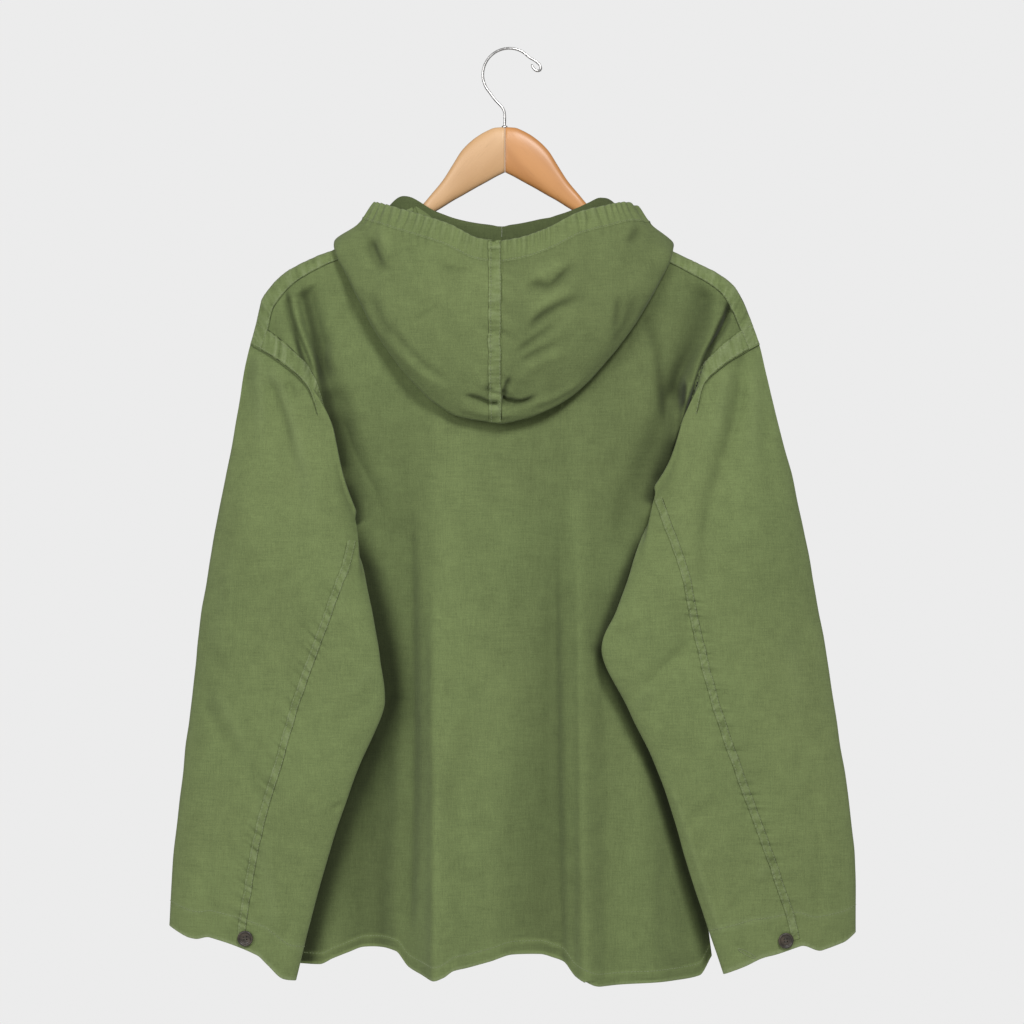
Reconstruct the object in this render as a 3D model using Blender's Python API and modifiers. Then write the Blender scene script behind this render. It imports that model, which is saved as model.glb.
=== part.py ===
"""Hooded overshirt hanging flat from a wooden clothes hanger, with its back towards +Y.

Metres, +Z up.  The origin is the point inside the hook that rests on a peg.  +X is the wearer's left.
Every size and table below is in millimetres, and MM turns it into metres where a mesh is made.
"""

import math

import bmesh
import bpy
import numpy as np
from mathutils import Matrix, Vector
from mathutils.bvhtree import BVHTree

MM = 0.001

# Cloth
WALL = 1.2
SEAM_GAP = 0.3
RIDGE_Y = 0.75  # half the distance between front and back along the shoulder seam

# Neckline: an oval in plan that dips at the back and further at the front
NECK_HALF_WIDTH = 88.0
NECK_SIDE_Z = -145.0
NECK_BACK_Y = 11.0
NECK_FRONT_Y = -22.0
NECK_BACK_DIP = 35.0
NECK_FRONT_DIP = 95.0

# Shares of the panel that belong to each shoulder, across, and to the armhole, down
SHOULDER_SHARE = 0.34
ARMHOLE_SHARE = 0.30
SLEEVE_COLUMNS = 20
SHOULDER_COLUMNS = 7
# Angles round the neckline where a panel has a column, from the wearer's left to the middle
BACK_NECK_ANGLES = (90, 75, 60, 45, 30, 15, 0)
FRONT_NECK_ANGLES = (90, 94, 99, 105, 120, 135, 150, 165, 180)
BODY_ROWS = 15
PANEL_DROP = 700.0  # length of a panel, for the share of it that bends over the hanger
SHOULDER_BEND = 5.0
TOP_FADE = 7.0  # how much sooner the shape of the top edge fades out below the sleeve heads than in the middle
ARMHOLE_DEPTH = 24.0

# The shoulder seam from the neck to the sleeve head, as it drapes over the hanger: x, z
SHOULDER_LEFT = ((88, -145), (150, -184.5), (163, -191.5), (180.5, -198), (207.5, -211.5), (218.5, -220),
                 (226, -228.5), (233.5, -240), (237, -254.5), (240.5, -269), (244.5, -283))
SHOULDER_RIGHT = ((-88, -145), (-148, -185.5), (-160, -193), (-172.5, -199), (-187, -206), (-206.5, -216),
                  (-219, -226), (-228, -240), (-235, -257), (-240.5, -272), (-244.5, -283))

# The armhole seam from the sleeve head to the underarm: share of its length, x, z
ARMHOLE_LEFT = ((0, 244.5, -283), (0.2, 211, -303.5), (0.35, 188, -326), (0.5, 178, -356),
                (0.75, 167, -408), (1, 147, -461))
ARMHOLE_RIGHT = ((0, -244.5, -283), (0.2, -211, -302.5), (0.35, -190, -323), (0.5, -183, -350),
                 (0.75, -170, -392), (1, -146, -430))
UNDERARM_Y = 5.0
UNDERARM_HALF_GAP = 1.1  # half the distance between front and back where the four edges meet

# The side seam from the underarm to the hem: share of its length, x, y, z
SIDE_LEFT = ((0, 147, UNDERARM_Y, -461), (0.1, 153, -5, -502), (0.5, 178, -9, -667), (1, 212, -9, -876))
SIDE_RIGHT = ((0, -146, UNDERARM_Y, -430), (0.1, -150, -5, -472), (0.5, -171, -9, -645), (1, -199, -9, -870))

# Depth of each panel along its middle: share of the way down, y
BACK_MIDDLE = ((0, 11), (0.007, 12.5), (0.03, 14.5), (0.06, 15.5), (0.15, 17), (0.3, 19), (0.6, 24), (1, 30))
FRONT_MIDDLE = ((0, -22), (0.007, -22.5), (0.03, -23), (0.06, -23.5), (0.15, -24), (0.3, -26), (0.6, -32),
                (1, -38))
# How square the panel's cross section is: share of the way down, power
SQUARENESS = ((0, 12), (0.06, 9), (0.15, 5), (0.4, 2.8), (1, 2.4))

# Share of the width beside each side seam over which the folds die away
FOLD_FREE = 0.12
# The panel lies flatter under the shoulders than at the neck: depth there, and where that starts and stops
SHOULDER_DEPTH = 9.5
BACK_SHOULDER_ACROSS = (0.14, 0.26)
FRONT_SHOULDER_ACROSS = (0.02, 0.17)
SHOULDER_DOWN = (0.05, 0.32)

# Hem of the back as it hangs: x, z
BACK_HEM = ((-199, -870), (-187, -888), (-172, -890), (-139, -891), (-91, -893), (-78, -889), (-67, -884),
            (-56, -871.5), (-46, -868), (-33, -865), (-8, -864.5), (15, -870.5), (35, -875), (48, -877),
            (58, -883), (68, -886), (80, -882), (92, -876.5), (105, -862.5), (118, -860.5), (135, -861),
            (151, -866), (165, -871), (178, -876.5), (212, -876))
FRONT_HEM = ((-199, -870), (-150, -859), (-95, -846), (-30, -853), (30, -846), (95, -854), (150, -852),
             (212, -876))

# Folds of a panel, each a soft ridge (depth over 0) or trough along a line.
# name, x and z where it starts, x and z where it ends, width on its left and right, depth at its start and end
FOLD_COLUMNS = ("name", "x0", "z0", "x1", "z1", "left", "right", "depth0", "depth1")
BACK_FOLDS = (
    ("wide_trough", 100, -345, 128, -890, 34, 22, -4, -27),
    ("left_crest", 62, -345, 65, -890, 15, 34, 3, 21),
    ("middle_trough", -44, -345, -34, -890, 30, 15, -3, -14),
    ("right_crest", -66, -345, -80, -890, 15, 22, 2, 19),
    ("right_plateau", -122, -345, -142, -890, 34, 34, 2, 15),
    ("left_armhole_trough", 190, -232, 170, -330, 11, 10, -7, -14),
    ("left_underarm_trough", 166, -345, 144, -440, 12, 16, -13, -7),
    ("right_armhole_trough", -188, -240, -166, -330, 12, 12, -6, -13),
    ("right_underarm_trough", -162, -345, -140, -430, 16, 12, -12, -6),
)
FRONT_FOLDS = (
    ("left_crest", 112, -400, 128, -890, 30, 26, -3, -18),
    ("left_trough", 52, -420, 44, -890, 24, 30, 3, 13),
    ("middle_crest", -4, -420, -8, -890, 22, 26, -2, -11),
    ("right_trough", -62, -400, -72, -890, 26, 22, 3, 15),
    ("right_crest", -110, -400, -132, -890, 24, 30, -2, -14),
    ("left_armhole_trough", 192, -236, 168, -340, 12, 12, 6, 12),
    ("right_armhole_trough", -190, -240, -168, -335, 12, 12, 6, 12),
)

# Sleeve sections from the armhole to the cuff
SECTION_COLUMNS = ("share", "outer_x", "outer_z", "inner_x", "inner_z", "outer_y", "inner_y", "half_depth")
SLEEVE_LEFT = (
    (0.00, 244.5, -283, 147, -461, 0, 5, 24),
    (0.02, 247.5, -294, 147.5, -467, 0, 6.8, 23),
    (0.05, 251.5, -312, 144, -478, 0, 11, 22),
    (0.12, 258, -355, 136, -499, 0, 20, 22),
    (0.23, 268.5, -413, 127, -537, 1, 33, 22),
    (0.36, 283, -489, 118, -581, 2, 41, 21),
    (0.49, 294.5, -566, 113, -621, 3, 43, 20),
    (0.63, 303, -643, 137, -681, 4, 40, 20),
    (0.77, 311.5, -720, 158, -739, 5, 34, 19),
    (0.88, 318, -777, 178, -806, 6, 28, 18),
    (1.00, 321.5, -839, 199, -889.5, 7, 22, 16),
)
SLEEVE_RIGHT = (
    (0.00, -244.5, -283, -146, -430, 0, 5, 24),
    (0.02, -247.5, -294, -146.5, -436, 0, 6.8, 23),
    (0.05, -251.5, -312, -142, -448, 0, 11, 22),
    (0.12, -262, -355, -131, -470, 0, 20, 22),
    (0.23, -276.5, -413, -118, -504, 1, 33, 22),
    (0.36, -292, -489, -105, -537, 2, 43, 21),
    (0.49, -306, -566, -91.5, -574, 3, 46, 20),
    (0.63, -318, -643, -118, -633, 4, 42, 20),
    (0.77, -329.5, -720, -149, -700, 5, 35, 19),
    (0.88, -335, -777, -173, -777, 6, 28, 18),
    (1.00, -336, -845.5, -208, -884, 7, 22, 16),
)
SLEEVE_ROWS = (0, 0.02, 0.05, 0.085, 0.12, 0.175, 0.23, 0.295, 0.36, 0.42, 0.465, 0.49, 0.515, 0.56, 0.63,
               0.70, 0.77, 0.83, 0.88, 0.94, 1)
SLEEVE_HEAD_FADE = 0.3
HEAD_CLEARANCE = 2.1  # from the middle of a panel's wall to the middle of the sleeve's
HEAD_GAP = 1.6  # outward, at the top of the head and at the underarm
SLEEVE_EDGE = 1.15  # over 1 draws the folded edges of the sleeve thinner
# How far the cuff's edge hangs below a straight line from its outer to its inner corner: share across, drop
CUFF_DROP_LEFT = ((0, 0), (0.14, 1.8), (0.21, 0.2), (0.33, -7.7), (0.6, -10.6), (0.7, -10),
                  (0.78, -5), (0.9, 2.6), (1, 0))
CUFF_DROP_RIGHT = ((0, 0), (0.1, 4.6), (0.26, 5), (0.43, -6), (0.6, -5.4), (0.7, -6), (0.85, -2.7), (1, -0.5))
SLEEVE_FOLDS_LEFT = (
    ("head_trough", 214, -330, 224, -470, 12, 12, -4, -1),
    ("elbow_trough", 262, -640, 232, -720, 14, 12, -1, -4),
    ("outer_ridge", 250, -450, 268, -640, 16, 20, 3, 2),
)
SLEEVE_FOLDS_RIGHT = (
    ("head_trough", -226, -330, -194, -500, 13, 11, -4, -5),
    ("elbow_trough", -178, -556, -140, -622, 12, 12, -4, -3),
    ("forearm_trough", -240, -700, -226, -800, 14, 14, -2, -4),
)

# Hood sections from the middle of the back round to the middle of the front: angle round the neck, then
# x, y, z of the top of the inner layer, of the bottom fold, of the belly of the outer layer, and of the rim,
# the radius of the bottom fold, and how far the inner layer is pressed towards the body
HOOD_COLUMNS = ("angle", "top_x", "top_y", "top_z", "fold_x", "fold_y", "fold_z",
                "belly_x", "belly_y", "belly_z", "rim_x", "rim_y", "rim_z", "radius", "press")
HOOD_LEFT = (
    (0, 6, 17, -171, 7.5, 33, -360, 7, 62, -275, 6, 57, -188, 5, 3),
    (15, 27, 17, -168, 47, 33, -352, 38, 61, -266, 27, 56, -185, 5, 3),
    (30, 49, 15, -163, 81, 32, -327, 67, 57, -248, 50, 54, -173, 5, 3),
    (45, 70, 12, -155, 107, 30, -296, 91, 51, -229, 72, 49, -165, 5, 3),
    (60, 84, 11.5, -146, 129, 26, -262, 111, 44, -209, 94, 40, -158, 4.5, 3),
    (75, 93, 7, -141.5, 149, 19, -221, 129, 32, -187, 114, 27, -151, 3.5, 2.5),
    (83, 98, 3, -140.5, 159, 13, -201, 136, 23, -176.5, 120, 18, -149, 3, 2.5),
    (90, 99, 0, -141, 162, 0, -187.8, 141, 12, -168, 124.5, 8, -147.5, 1.6, 3),
    (97, 92, -13, -142, 160, -13, -195, 140, -4, -169.5, 125, -4, -150, 3, 2.5),
    (105, 81, -20, -155, 152, -21, -207, 131, -20, -179, 119, -18, -156, 3.5, 2.5),
    (120, 64, -24.5, -177, 130, -30, -228, 113, -38, -198, 98, -34, -172, 4, 2),
    (150, 32, -28, -215, 68, -40, -272, 57, -49, -244, 48, -46, -216, 4, 1),
    (180, 0, -29, -232, 0, -43, -290, 0, -53, -262, 0, -50, -234, 4, 1),
)
HOOD_RIGHT = (
    (0, 6, 17, -171, 7.5, 33, -360, 7, 62, -275, 6, 57, -188, 5, 3),
    (15, -18, 17, -167, -26, 33, -353, -22, 61, -268, -18, 56, -184, 5, 3),
    (30, -42, 15, -162, -62, 32, -335, -52, 57, -252, -44, 54, -174, 5, 3),
    (45, -64, 12, -155, -94, 30, -304, -80, 51, -233, -68, 49, -161, 5, 3),
    (60, -82, 11.5, -147, -124, 26, -265, -106, 44, -208, -92, 40, -154, 4.5, 3),
    (75, -92, 7, -142.5, -146, 19, -226, -127, 32, -184.5, -112, 27, -149, 3.5, 2.5),
    (83, -97, 3, -142.5, -156, 13, -205, -135, 23, -177.5, -120, 18, -149, 3, 2.5),
    (90, -98, 0, -142.5, -160, 0, -190, -140.5, 12, -170, -126.5, 8, -151.5, 1.5, 3),
    (97, -92, -13.8, -142.5, -158, -13, -197, -140, -4, -171.5, -125.5, -4, -153.5, 3, 2.5),
    (105, -81, -20, -155, -150, -21, -209, -131, -20, -181, -119, -18, -158, 3.5, 2.5),
    (120, -64, -24.5, -177, -130, -30, -228, -113, -38, -198, -98, -34, -172, 4, 2),
    (150, -32, -28, -215, -68, -40, -272, -57, -49, -244, -48, -46, -216, 4, 1),
    (180, 0, -29, -232, 0, -43, -290, 0, -53, -262, 0, -50, -234, 4, 1),
)
HOOD_ANGLES = (0, 7.5, 15, 22.5, 30, 37.5, 45, 52.5, 60, 67.5, 75, 81, 86, 90, 94, 99, 105, 112.5, 120, 135, 150,
               165, 180)
HOOD_STOPS = (0, 0.1, 0.32, 0.475, 0.5, 0.525, 0.75, 1)  # where a section's own points lie along it
HOOD_ROWS = (0, 0.1, 0.17, 0.25, 0.33, 0.41, 0.475, 0.5, 0.525, 0.6, 0.7, 0.8, 0.9, 1)
HOOD_HALF_GAP = 0.4
HOOD_RISE = 2.1  # from the panel's edge to the hood's, square to the neckline
HOOD_SEAM_X = 3.0  # where the hood's middle seam meets the neck
HOOD_CLEARANCE = 3.1  # from the middle of a panel's wall to the middle of the hood's
HOOD_SAMPLES = 201  # along a section, before its rows are chosen
FOLD_TALL = 1.2  # height of the bottom fold, in radii
CASING_WIDTH = 20.0
GATHERS = 30  # on each half of the rim
GATHER_DEPTH = 1.3

# Hanger
ARM_HALF_DEPTH = 6.0
# Sections of an arm from the mitre to the tip: x, z of its top, z of its underside, half depth
ARM_SECTIONS = ((0, -74, -117.5, 6), (9, -74.5, -122, 6), (17, -77.5, -126.5, 6), (28, -84, -132.5, 6),
                (41, -96, -140, 6), (50, -110, -145, 6), (59.5, -125, -151, 6), (71, -139, -158, 6),
                (80, -149.5, -165, 5), (88, -156.5, -171, 5), (120, -175, -190, 5.5),
                (160, -197, -212, 5.5), (185, -209, -226, 5.5), (205, -219.5, -237, 4.5),
                (214, -227, -240, 3.5), (218, -231, -238, 2))
ARM_ROUNDS = 12
ARM_SQUARENESS = 0.75  # of an arm's cross section: 1 is an oval
WIRE_RADIUS = 1.25
HOOK_RADIUS = 25.4
HOOK_CENTRE_X = -4.1
HOOK_STEPS, HOOK_POINTS = 14, 44
HOOK_START, HOOK_END = -42.0, 118.0  # the round part of the hook, in degrees from the wearer's left
# The wire's bends below and past the round part: x, z
HOOK_STEM = ((0.4, -62), (0.8, -59), (2.2, -56), (4.6, -53), (9.4, -48))
HOOK_TIP = ((-24, -7.5), (-30, -11.2), (-33.6, -15), (-34.4, -17.6), (-33, -19.8), (-30, -19.8), (-27.4, -17.6),
            (-25.4, -13.8))

# Cuff buttons: four holes and a raised rim
BUTTON_RADIUS = 7.5
BUTTON_PROFILE = ((0, 1.6), (4.6, 1.6), (5.4, 2.4), (6.4, 2.8), (7.2, 2.4), (7.5, 1.6), (7.2, 0.5), (6.4, 0), (0, 0))
BUTTON_SEGMENTS = 18
BUTTON_HOLE_RADIUS = 0.8
BUTTON_HOLE_OFFSET = 1.7
BUTTON_TURN = 38
BUTTON_LIFT = 0.9  # from the cloth's middle to the button's underside
CUFF_BUTTONS = {"left": (0.975, 0.585), "right": (0.985, 0.548)}  # share along the sleeve, share across its back

COLOURS = {
    "olive_cotton": ((0.155, 0.195, 0.083), 0.85, 0.0),
    "dark_button": ((0.03, 0.028, 0.022), 0.35, 0.0),
    "beech": ((0.55, 0.36, 0.19), 0.45, 0.0),
    "steel_wire": ((0.55, 0.55, 0.54), 0.3, 1.0),
}


# ---------------------------------------------------------------- curves and surfaces

def smooth(knots, values, at, free=False):
    """The values at `at` on a smooth curve through the knots; unless free, it never swings past them."""
    knots = np.asarray(knots, dtype=float)
    values = np.asarray(values, dtype=float)
    at = np.asarray(at, dtype=float)
    flat = values.reshape(len(knots), -1)
    width = np.diff(knots)[:, None]
    rise = np.diff(flat, axis=0) / width
    if free:
        inner = (rise[:-1] * width[1:] + rise[1:] * width[:-1]) / (width[:-1] + width[1:])
    else:
        product = rise[:-1] * rise[1:]
        total = np.where(product > 0, rise[:-1] + rise[1:], 1.0)
        inner = np.where(product > 0, 2 * product / total, 0.0)
    slope = np.vstack([rise[:1], inner, rise[-1:]])
    cell = np.clip(np.searchsorted(knots, at.ravel(), side="right") - 1, 0, len(knots) - 2)
    step = width[cell]
    t = ((at.ravel() - knots[cell]) / step[:, 0])[:, None]
    result = ((2 * t**3 - 3 * t**2 + 1) * flat[cell] + (t**3 - 2 * t**2 + t) * step * slope[cell]
              + (3 * t**2 - 2 * t**3) * flat[cell + 1] + (t**3 - t**2) * step * slope[cell + 1])
    return result.reshape(at.shape + values.shape[1:])


def by_length(points):
    """The share of the whole length reached at each point of a line."""
    reached = np.concatenate([[0], np.cumsum(np.linalg.norm(np.diff(points, axis=0), axis=1))])
    return reached / reached[-1]


def ease(low, high, value):
    """0 below low, 1 above high, smooth between."""
    t = np.clip((value - low) / (high - low), 0, 1)
    return t * t * (3 - 2 * t)


def fold_depth(folds, x, z):
    """The sum of the folds' heights at points x, z."""
    total = np.zeros_like(x)
    for fold in folds:
        row = dict(zip(FOLD_COLUMNS, fold))
        dx, dz = row["x1"] - row["x0"], row["z1"] - row["z0"]
        share = ((x - row["x0"]) * dx + (z - row["z0"]) * dz) / (dx * dx + dz * dz)
        inside = np.clip(share, 0, 1)
        off = x - (row["x0"] + inside * dx)
        along = (share - inside) * math.hypot(dx, dz)
        width = np.where(off > 0, row["left"], row["right"])
        depth = row["depth0"] + (row["depth1"] - row["depth0"]) * inside
        total += depth * np.exp(-(off / width) ** 2 - (along / (0.5 * (row["left"] + row["right"]))) ** 2)
    return total


def neck(angle):
    """The neckline at an angle in degrees, 0 at the middle of the back and 90 on the wearer's left."""
    angle = (np.asarray(angle, dtype=float) + 180) % 360 - 180
    side, turn = np.sign(angle), np.abs(angle)
    forward = np.abs(np.cos(np.radians(turn)))
    front = np.clip((turn - 90) / 90, 0, 1)
    behind = turn <= 90
    x = side * NECK_HALF_WIDTH * np.where(behind, np.sin(np.radians(turn)), 1 - front)
    y = np.where(behind, NECK_BACK_Y * forward**0.5, NECK_FRONT_Y * front**0.33)
    dip = np.where(behind, NECK_BACK_DIP * forward**2, NECK_FRONT_DIP * np.sin(0.5 * np.pi * front))
    return np.stack([x, y, NECK_SIDE_Z - dip], axis=-1)


def armhole(table, side, share):
    """The armhole seam on the back (side 1) or the front (side -1), at shares of its length."""
    table = np.asarray(table, dtype=float)
    xz = smooth(table[:, 0], table[:, 1:], share)
    bow = RIDGE_Y + (ARMHOLE_DEPTH - RIDGE_Y) * np.sin(np.pi * share) ** 0.75
    underarm = share**6
    y = side * bow * (1 - underarm) + (UNDERARM_Y + side * UNDERARM_HALF_GAP) * underarm
    return np.stack([xz[..., 0], y, xz[..., 1]], axis=-1)


# ---------------------------------------------------------------- meshes and finishes

def material(name):
    colour, roughness, metallic = COLOURS[name]
    made = bpy.data.materials.get(name)
    if made is None:
        made = bpy.data.materials.new(name)
        made.use_nodes = True
        shader = made.node_tree.nodes["Principled BSDF"]
        shader.inputs["Base Color"].default_value = (*colour, 1)
        shader.inputs["Roughness"].default_value = roughness
        shader.inputs["Metallic"].default_value = metallic
    return made


def add_object(name, mesh, finish):
    """An object of this mesh in the garment's collection, shaded smooth."""
    mesh.materials.clear()
    mesh.materials.append(material(finish))
    mesh.shade_smooth()
    made = bpy.data.objects.new(name, mesh)
    bpy.data.collections["hooded_overshirt"].objects.link(made)
    return made


def grid_faces(rows, columns, closed=False):
    """The four corners of each cell of a grid; closed joins the last column to the first."""
    index = np.arange(rows * columns).reshape(rows, columns)
    right = np.roll(index, -1, axis=1) if closed else index[:, 1:]
    left = index if closed else index[:, :-1]
    return np.stack([left[:-1], right[:-1], right[1:], left[1:]], axis=-1).reshape(-1, 4)


def grid_mesh(name, points, closed=False):
    """A mesh over a grid of points in millimetres, rows by columns; closed joins the last column to the first."""
    faces = grid_faces(*points.shape[:2], closed)
    mesh = bpy.data.meshes.new(name)
    mesh.from_pydata((points.reshape(-1, 3) * MM).tolist(), [], faces.tolist())
    return mesh


def cloth(name, points, closed=False):
    """A wall of cloth whose middle runs through the grid of points."""
    made = add_object(name, grid_mesh(name, points, closed), "olive_cotton")
    wall = made.modifiers.new("wall", "SOLIDIFY")
    wall.thickness = WALL * MM
    wall.offset = 0
    return made


# ---------------------------------------------------------------- body

def panel(side, middle, hem, folds):
    """The back (side 1) or front (side -1) panel: edges on the seams, crowned between them, then folded."""
    around = (1 - np.cos(np.linspace(0, np.pi, SLEEVE_COLUMNS // 2 + 1))) / 2
    down = np.concatenate([ARMHOLE_SHARE * around, np.linspace(ARMHOLE_SHARE, 1, BODY_ROWS)[1:]])
    shoulder = np.linspace(0, SHOULDER_SHARE, SHOULDER_COLUMNS + 1)
    half = np.asarray(BACK_NECK_ANGLES if side > 0 else FRONT_NECK_ANGLES, dtype=float)
    angles = np.concatenate([half, (2 * half[-1] - half[-2::-1])])
    between = SHOULDER_SHARE + (1 - 2 * SHOULDER_SHARE) * np.abs(angles - 90) / 180
    across = np.concatenate([shoulder[:-1], between, (1 - shoulder[::-1])[1:]])

    def seam_line(table, shares):
        line = np.asarray(table, dtype=float)[::-1]
        xz = smooth(by_length(line), line, shares)
        return np.stack([xz[:, 0], np.full(len(shares), side * RIDGE_Y), xz[:, 1]], axis=-1)

    left_ridge = seam_line(SHOULDER_LEFT, shoulder / SHOULDER_SHARE)
    right_ridge = seam_line(SHOULDER_RIGHT, shoulder / SHOULDER_SHARE)[::-1]
    neckline = neck(angles)
    neckline[[0, -1]] = left_ridge[-1], right_ridge[0]
    top = np.concatenate([left_ridge[:-1], neckline, right_ridge[1:]])

    def edge(armhole_table, side_table):
        seam = np.asarray(side_table, dtype=float)
        upper = armhole(armhole_table, side, around)
        lower = smooth(seam[:, 0], seam[:, 1:], np.linspace(0, 1, BODY_ROWS))
        reached = np.linspace(0, 1, BODY_ROWS)
        lower[:, 1] += side * (RIDGE_Y + (UNDERARM_HALF_GAP - RIDGE_Y) * (1 - ease(0, 0.3, reached)))
        upper[-1] = lower[0]
        return np.concatenate([upper, lower[1:]])

    left, right = edge(ARMHOLE_LEFT, SIDE_LEFT), edge(ARMHOLE_RIGHT, SIDE_RIGHT)
    hem = np.asarray(hem, dtype=float)
    x = left[-1, 0] + (right[-1, 0] - left[-1, 0]) * across
    y = left[-1, 1] + (right[-1, 1] - left[-1, 1]) * across
    z = smooth(hem[:, 0], hem[:, 1], x)
    z[[0, -1]] = left[-1, 2], right[-1, 2]
    bottom = np.stack([x, y, z], axis=-1)

    u, v = across[None, :, None], down[:, None, None]
    straight_top = (1 - u) * top[0] + u * top[-1]
    straight_bottom = (1 - u) * bottom[0] + u * bottom[-1]
    fading = (1 - v) ** (1 + TOP_FADE * np.abs(2 * u - 1) ** 4)
    points = (fading * (top[None] - straight_top) + v * (bottom[None] - straight_bottom)
              + (1 - u) * left[:, None] + u * right[:, None])

    middle = np.asarray(middle, dtype=float)
    u, v = u[..., 0], v[..., 0]
    power = smooth(*np.asarray(SQUARENESS, dtype=float).T, v)
    crown = smooth(middle[:, 0], middle[:, 1], v)
    shoulder_across = BACK_SHOULDER_ACROSS if side > 0 else FRONT_SHOULDER_ACROSS
    flatter = ease(*shoulder_across, np.abs(u - 0.5)) * (1 - ease(*SHOULDER_DOWN, v))
    crown = crown + (side * SHOULDER_DEPTH - crown) * flatter
    sides = (1 - u) * left[:, 1:2] + u * right[:, 1:2]
    edge = np.abs(2 * u - 1)
    depth = crown + (sides - crown) * edge**power
    bend = 1 - np.exp(-v * PANEL_DROP / SHOULDER_BEND)
    bend = bend + (1 - bend) * edge**30
    points[:, :, 1] = top[None, :, 1] + (depth - top[None, :, 1]) * bend
    inside = ease(0, FOLD_FREE, u) * ease(0, FOLD_FREE, 1 - u) * ease(0, 0.03, v)
    points[:, :, 1] += inside * fold_depth(folds, points[:, :, 0], points[:, :, 2])
    return points


# ---------------------------------------------------------------- sleeves

def armhole_cover(body, side):
    """The line just outside a panel's armhole edge, on the wearer's left (1) or right (-1)."""
    count = SLEEVE_COLUMNS // 2 + 1
    edge, inner = (body[:count, 0], body[:count, 1]) if side > 0 else (body[:count, -1], body[:count, -2])
    inward = (inner - edge) / np.linalg.norm(inner - edge, axis=1, keepdims=True)
    along = np.gradient(edge, axis=0)
    outward = np.cross(along, inward)
    outward /= np.linalg.norm(outward, axis=1, keepdims=True)
    outward *= np.sign(outward[count // 2, 1] * edge[count // 2, 1])
    middle = np.sin(np.linspace(0, np.pi, count))[:, None]
    return edge + HEAD_CLEARANCE * middle**0.2 * outward + side * HEAD_GAP * (1 - middle) * np.array((1, 0, 0))


def sleeve(sections, bodies, cuff_drop, folds, rows=SLEEVE_ROWS, columns=SLEEVE_COLUMNS):
    """Rings from the armhole to the cuff, each starting at the outer edge and going round by the back.

    bodies holds the back and the front panel, whose armhole edges the sleeve's head laps over.
    """
    table = np.asarray(sections, dtype=float)
    rows = np.asarray(rows, dtype=float)
    turn = np.arange(columns) * 2 * np.pi / columns
    share = (1 - np.cos(turn)) / 2
    behind = np.where(np.sin(turn) >= 0, 1.0, -1.0)

    def rings(at):
        section = dict(zip(SECTION_COLUMNS[1:], smooth(table[:, 0], table[:, 1:], at).T[..., None]))
        ring = np.stack([section[f"outer_{axis}"] + (section[f"inner_{axis}"] - section[f"outer_{axis}"]) * share
                         for axis in "xyz"], axis=-1)
        ring[..., 1] += section["half_depth"] * behind * np.abs(np.sin(turn)) ** SLEEVE_EDGE
        return ring

    points = rings(rows)
    outward = math.copysign(1, table[0, 1])
    back, front = (armhole_cover(body, outward) for body in bodies)
    head = np.concatenate([back, front[-2:0:-1]])
    head[0] = (back[0] + front[0]) / 2
    head[columns // 2] = (back[-1] + front[-1]) / 2
    fade = 1 - ease(0, SLEEVE_HEAD_FADE, rows)
    points += fade[:, None, None] * (head - rings(np.zeros(1))[0])
    cuff = np.asarray(cuff_drop, dtype=float)
    points[:, :, 2] -= (ease(0.85, 1, rows)[:, None]) * smooth(cuff[:, 0], cuff[:, 1], share)
    at_back = np.clip(np.sin(turn), 0, 1) ** 0.5 * ease(0, 0.08, rows)[:, None]
    points[:, :, 1] += at_back * fold_depth(folds, points[:, :, 0], points[:, :, 2])
    return points


# ---------------------------------------------------------------- hood

def surface_tree(points):
    """The grid of points as a surface that can be asked for its nearest point or where a line meets it."""
    rows, columns = points.shape[:2]
    return BVHTree.FromPolygons(points.reshape(-1, 3).tolist(), grid_faces(rows, columns).tolist())


def laid_outside(point, tree, side):
    """The point moved out until it is HOOD_CLEARANCE outside the surface on its side: 1 behind, -1 in front."""
    point = Vector(point)
    met = tree.ray_cast(Vector((point.x, side * 500, point.z)), Vector((0, -side, 0)))[0]
    if met is not None:
        point.y = side * max(side * point.y, side * met.y + HOOD_CLEARANCE)
    near, _, _, distance = tree.find_nearest(point)
    if distance < HOOD_CLEARANCE:
        point += (point - near).normalized() * (HOOD_CLEARANCE - distance)
    return np.array(point)


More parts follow.
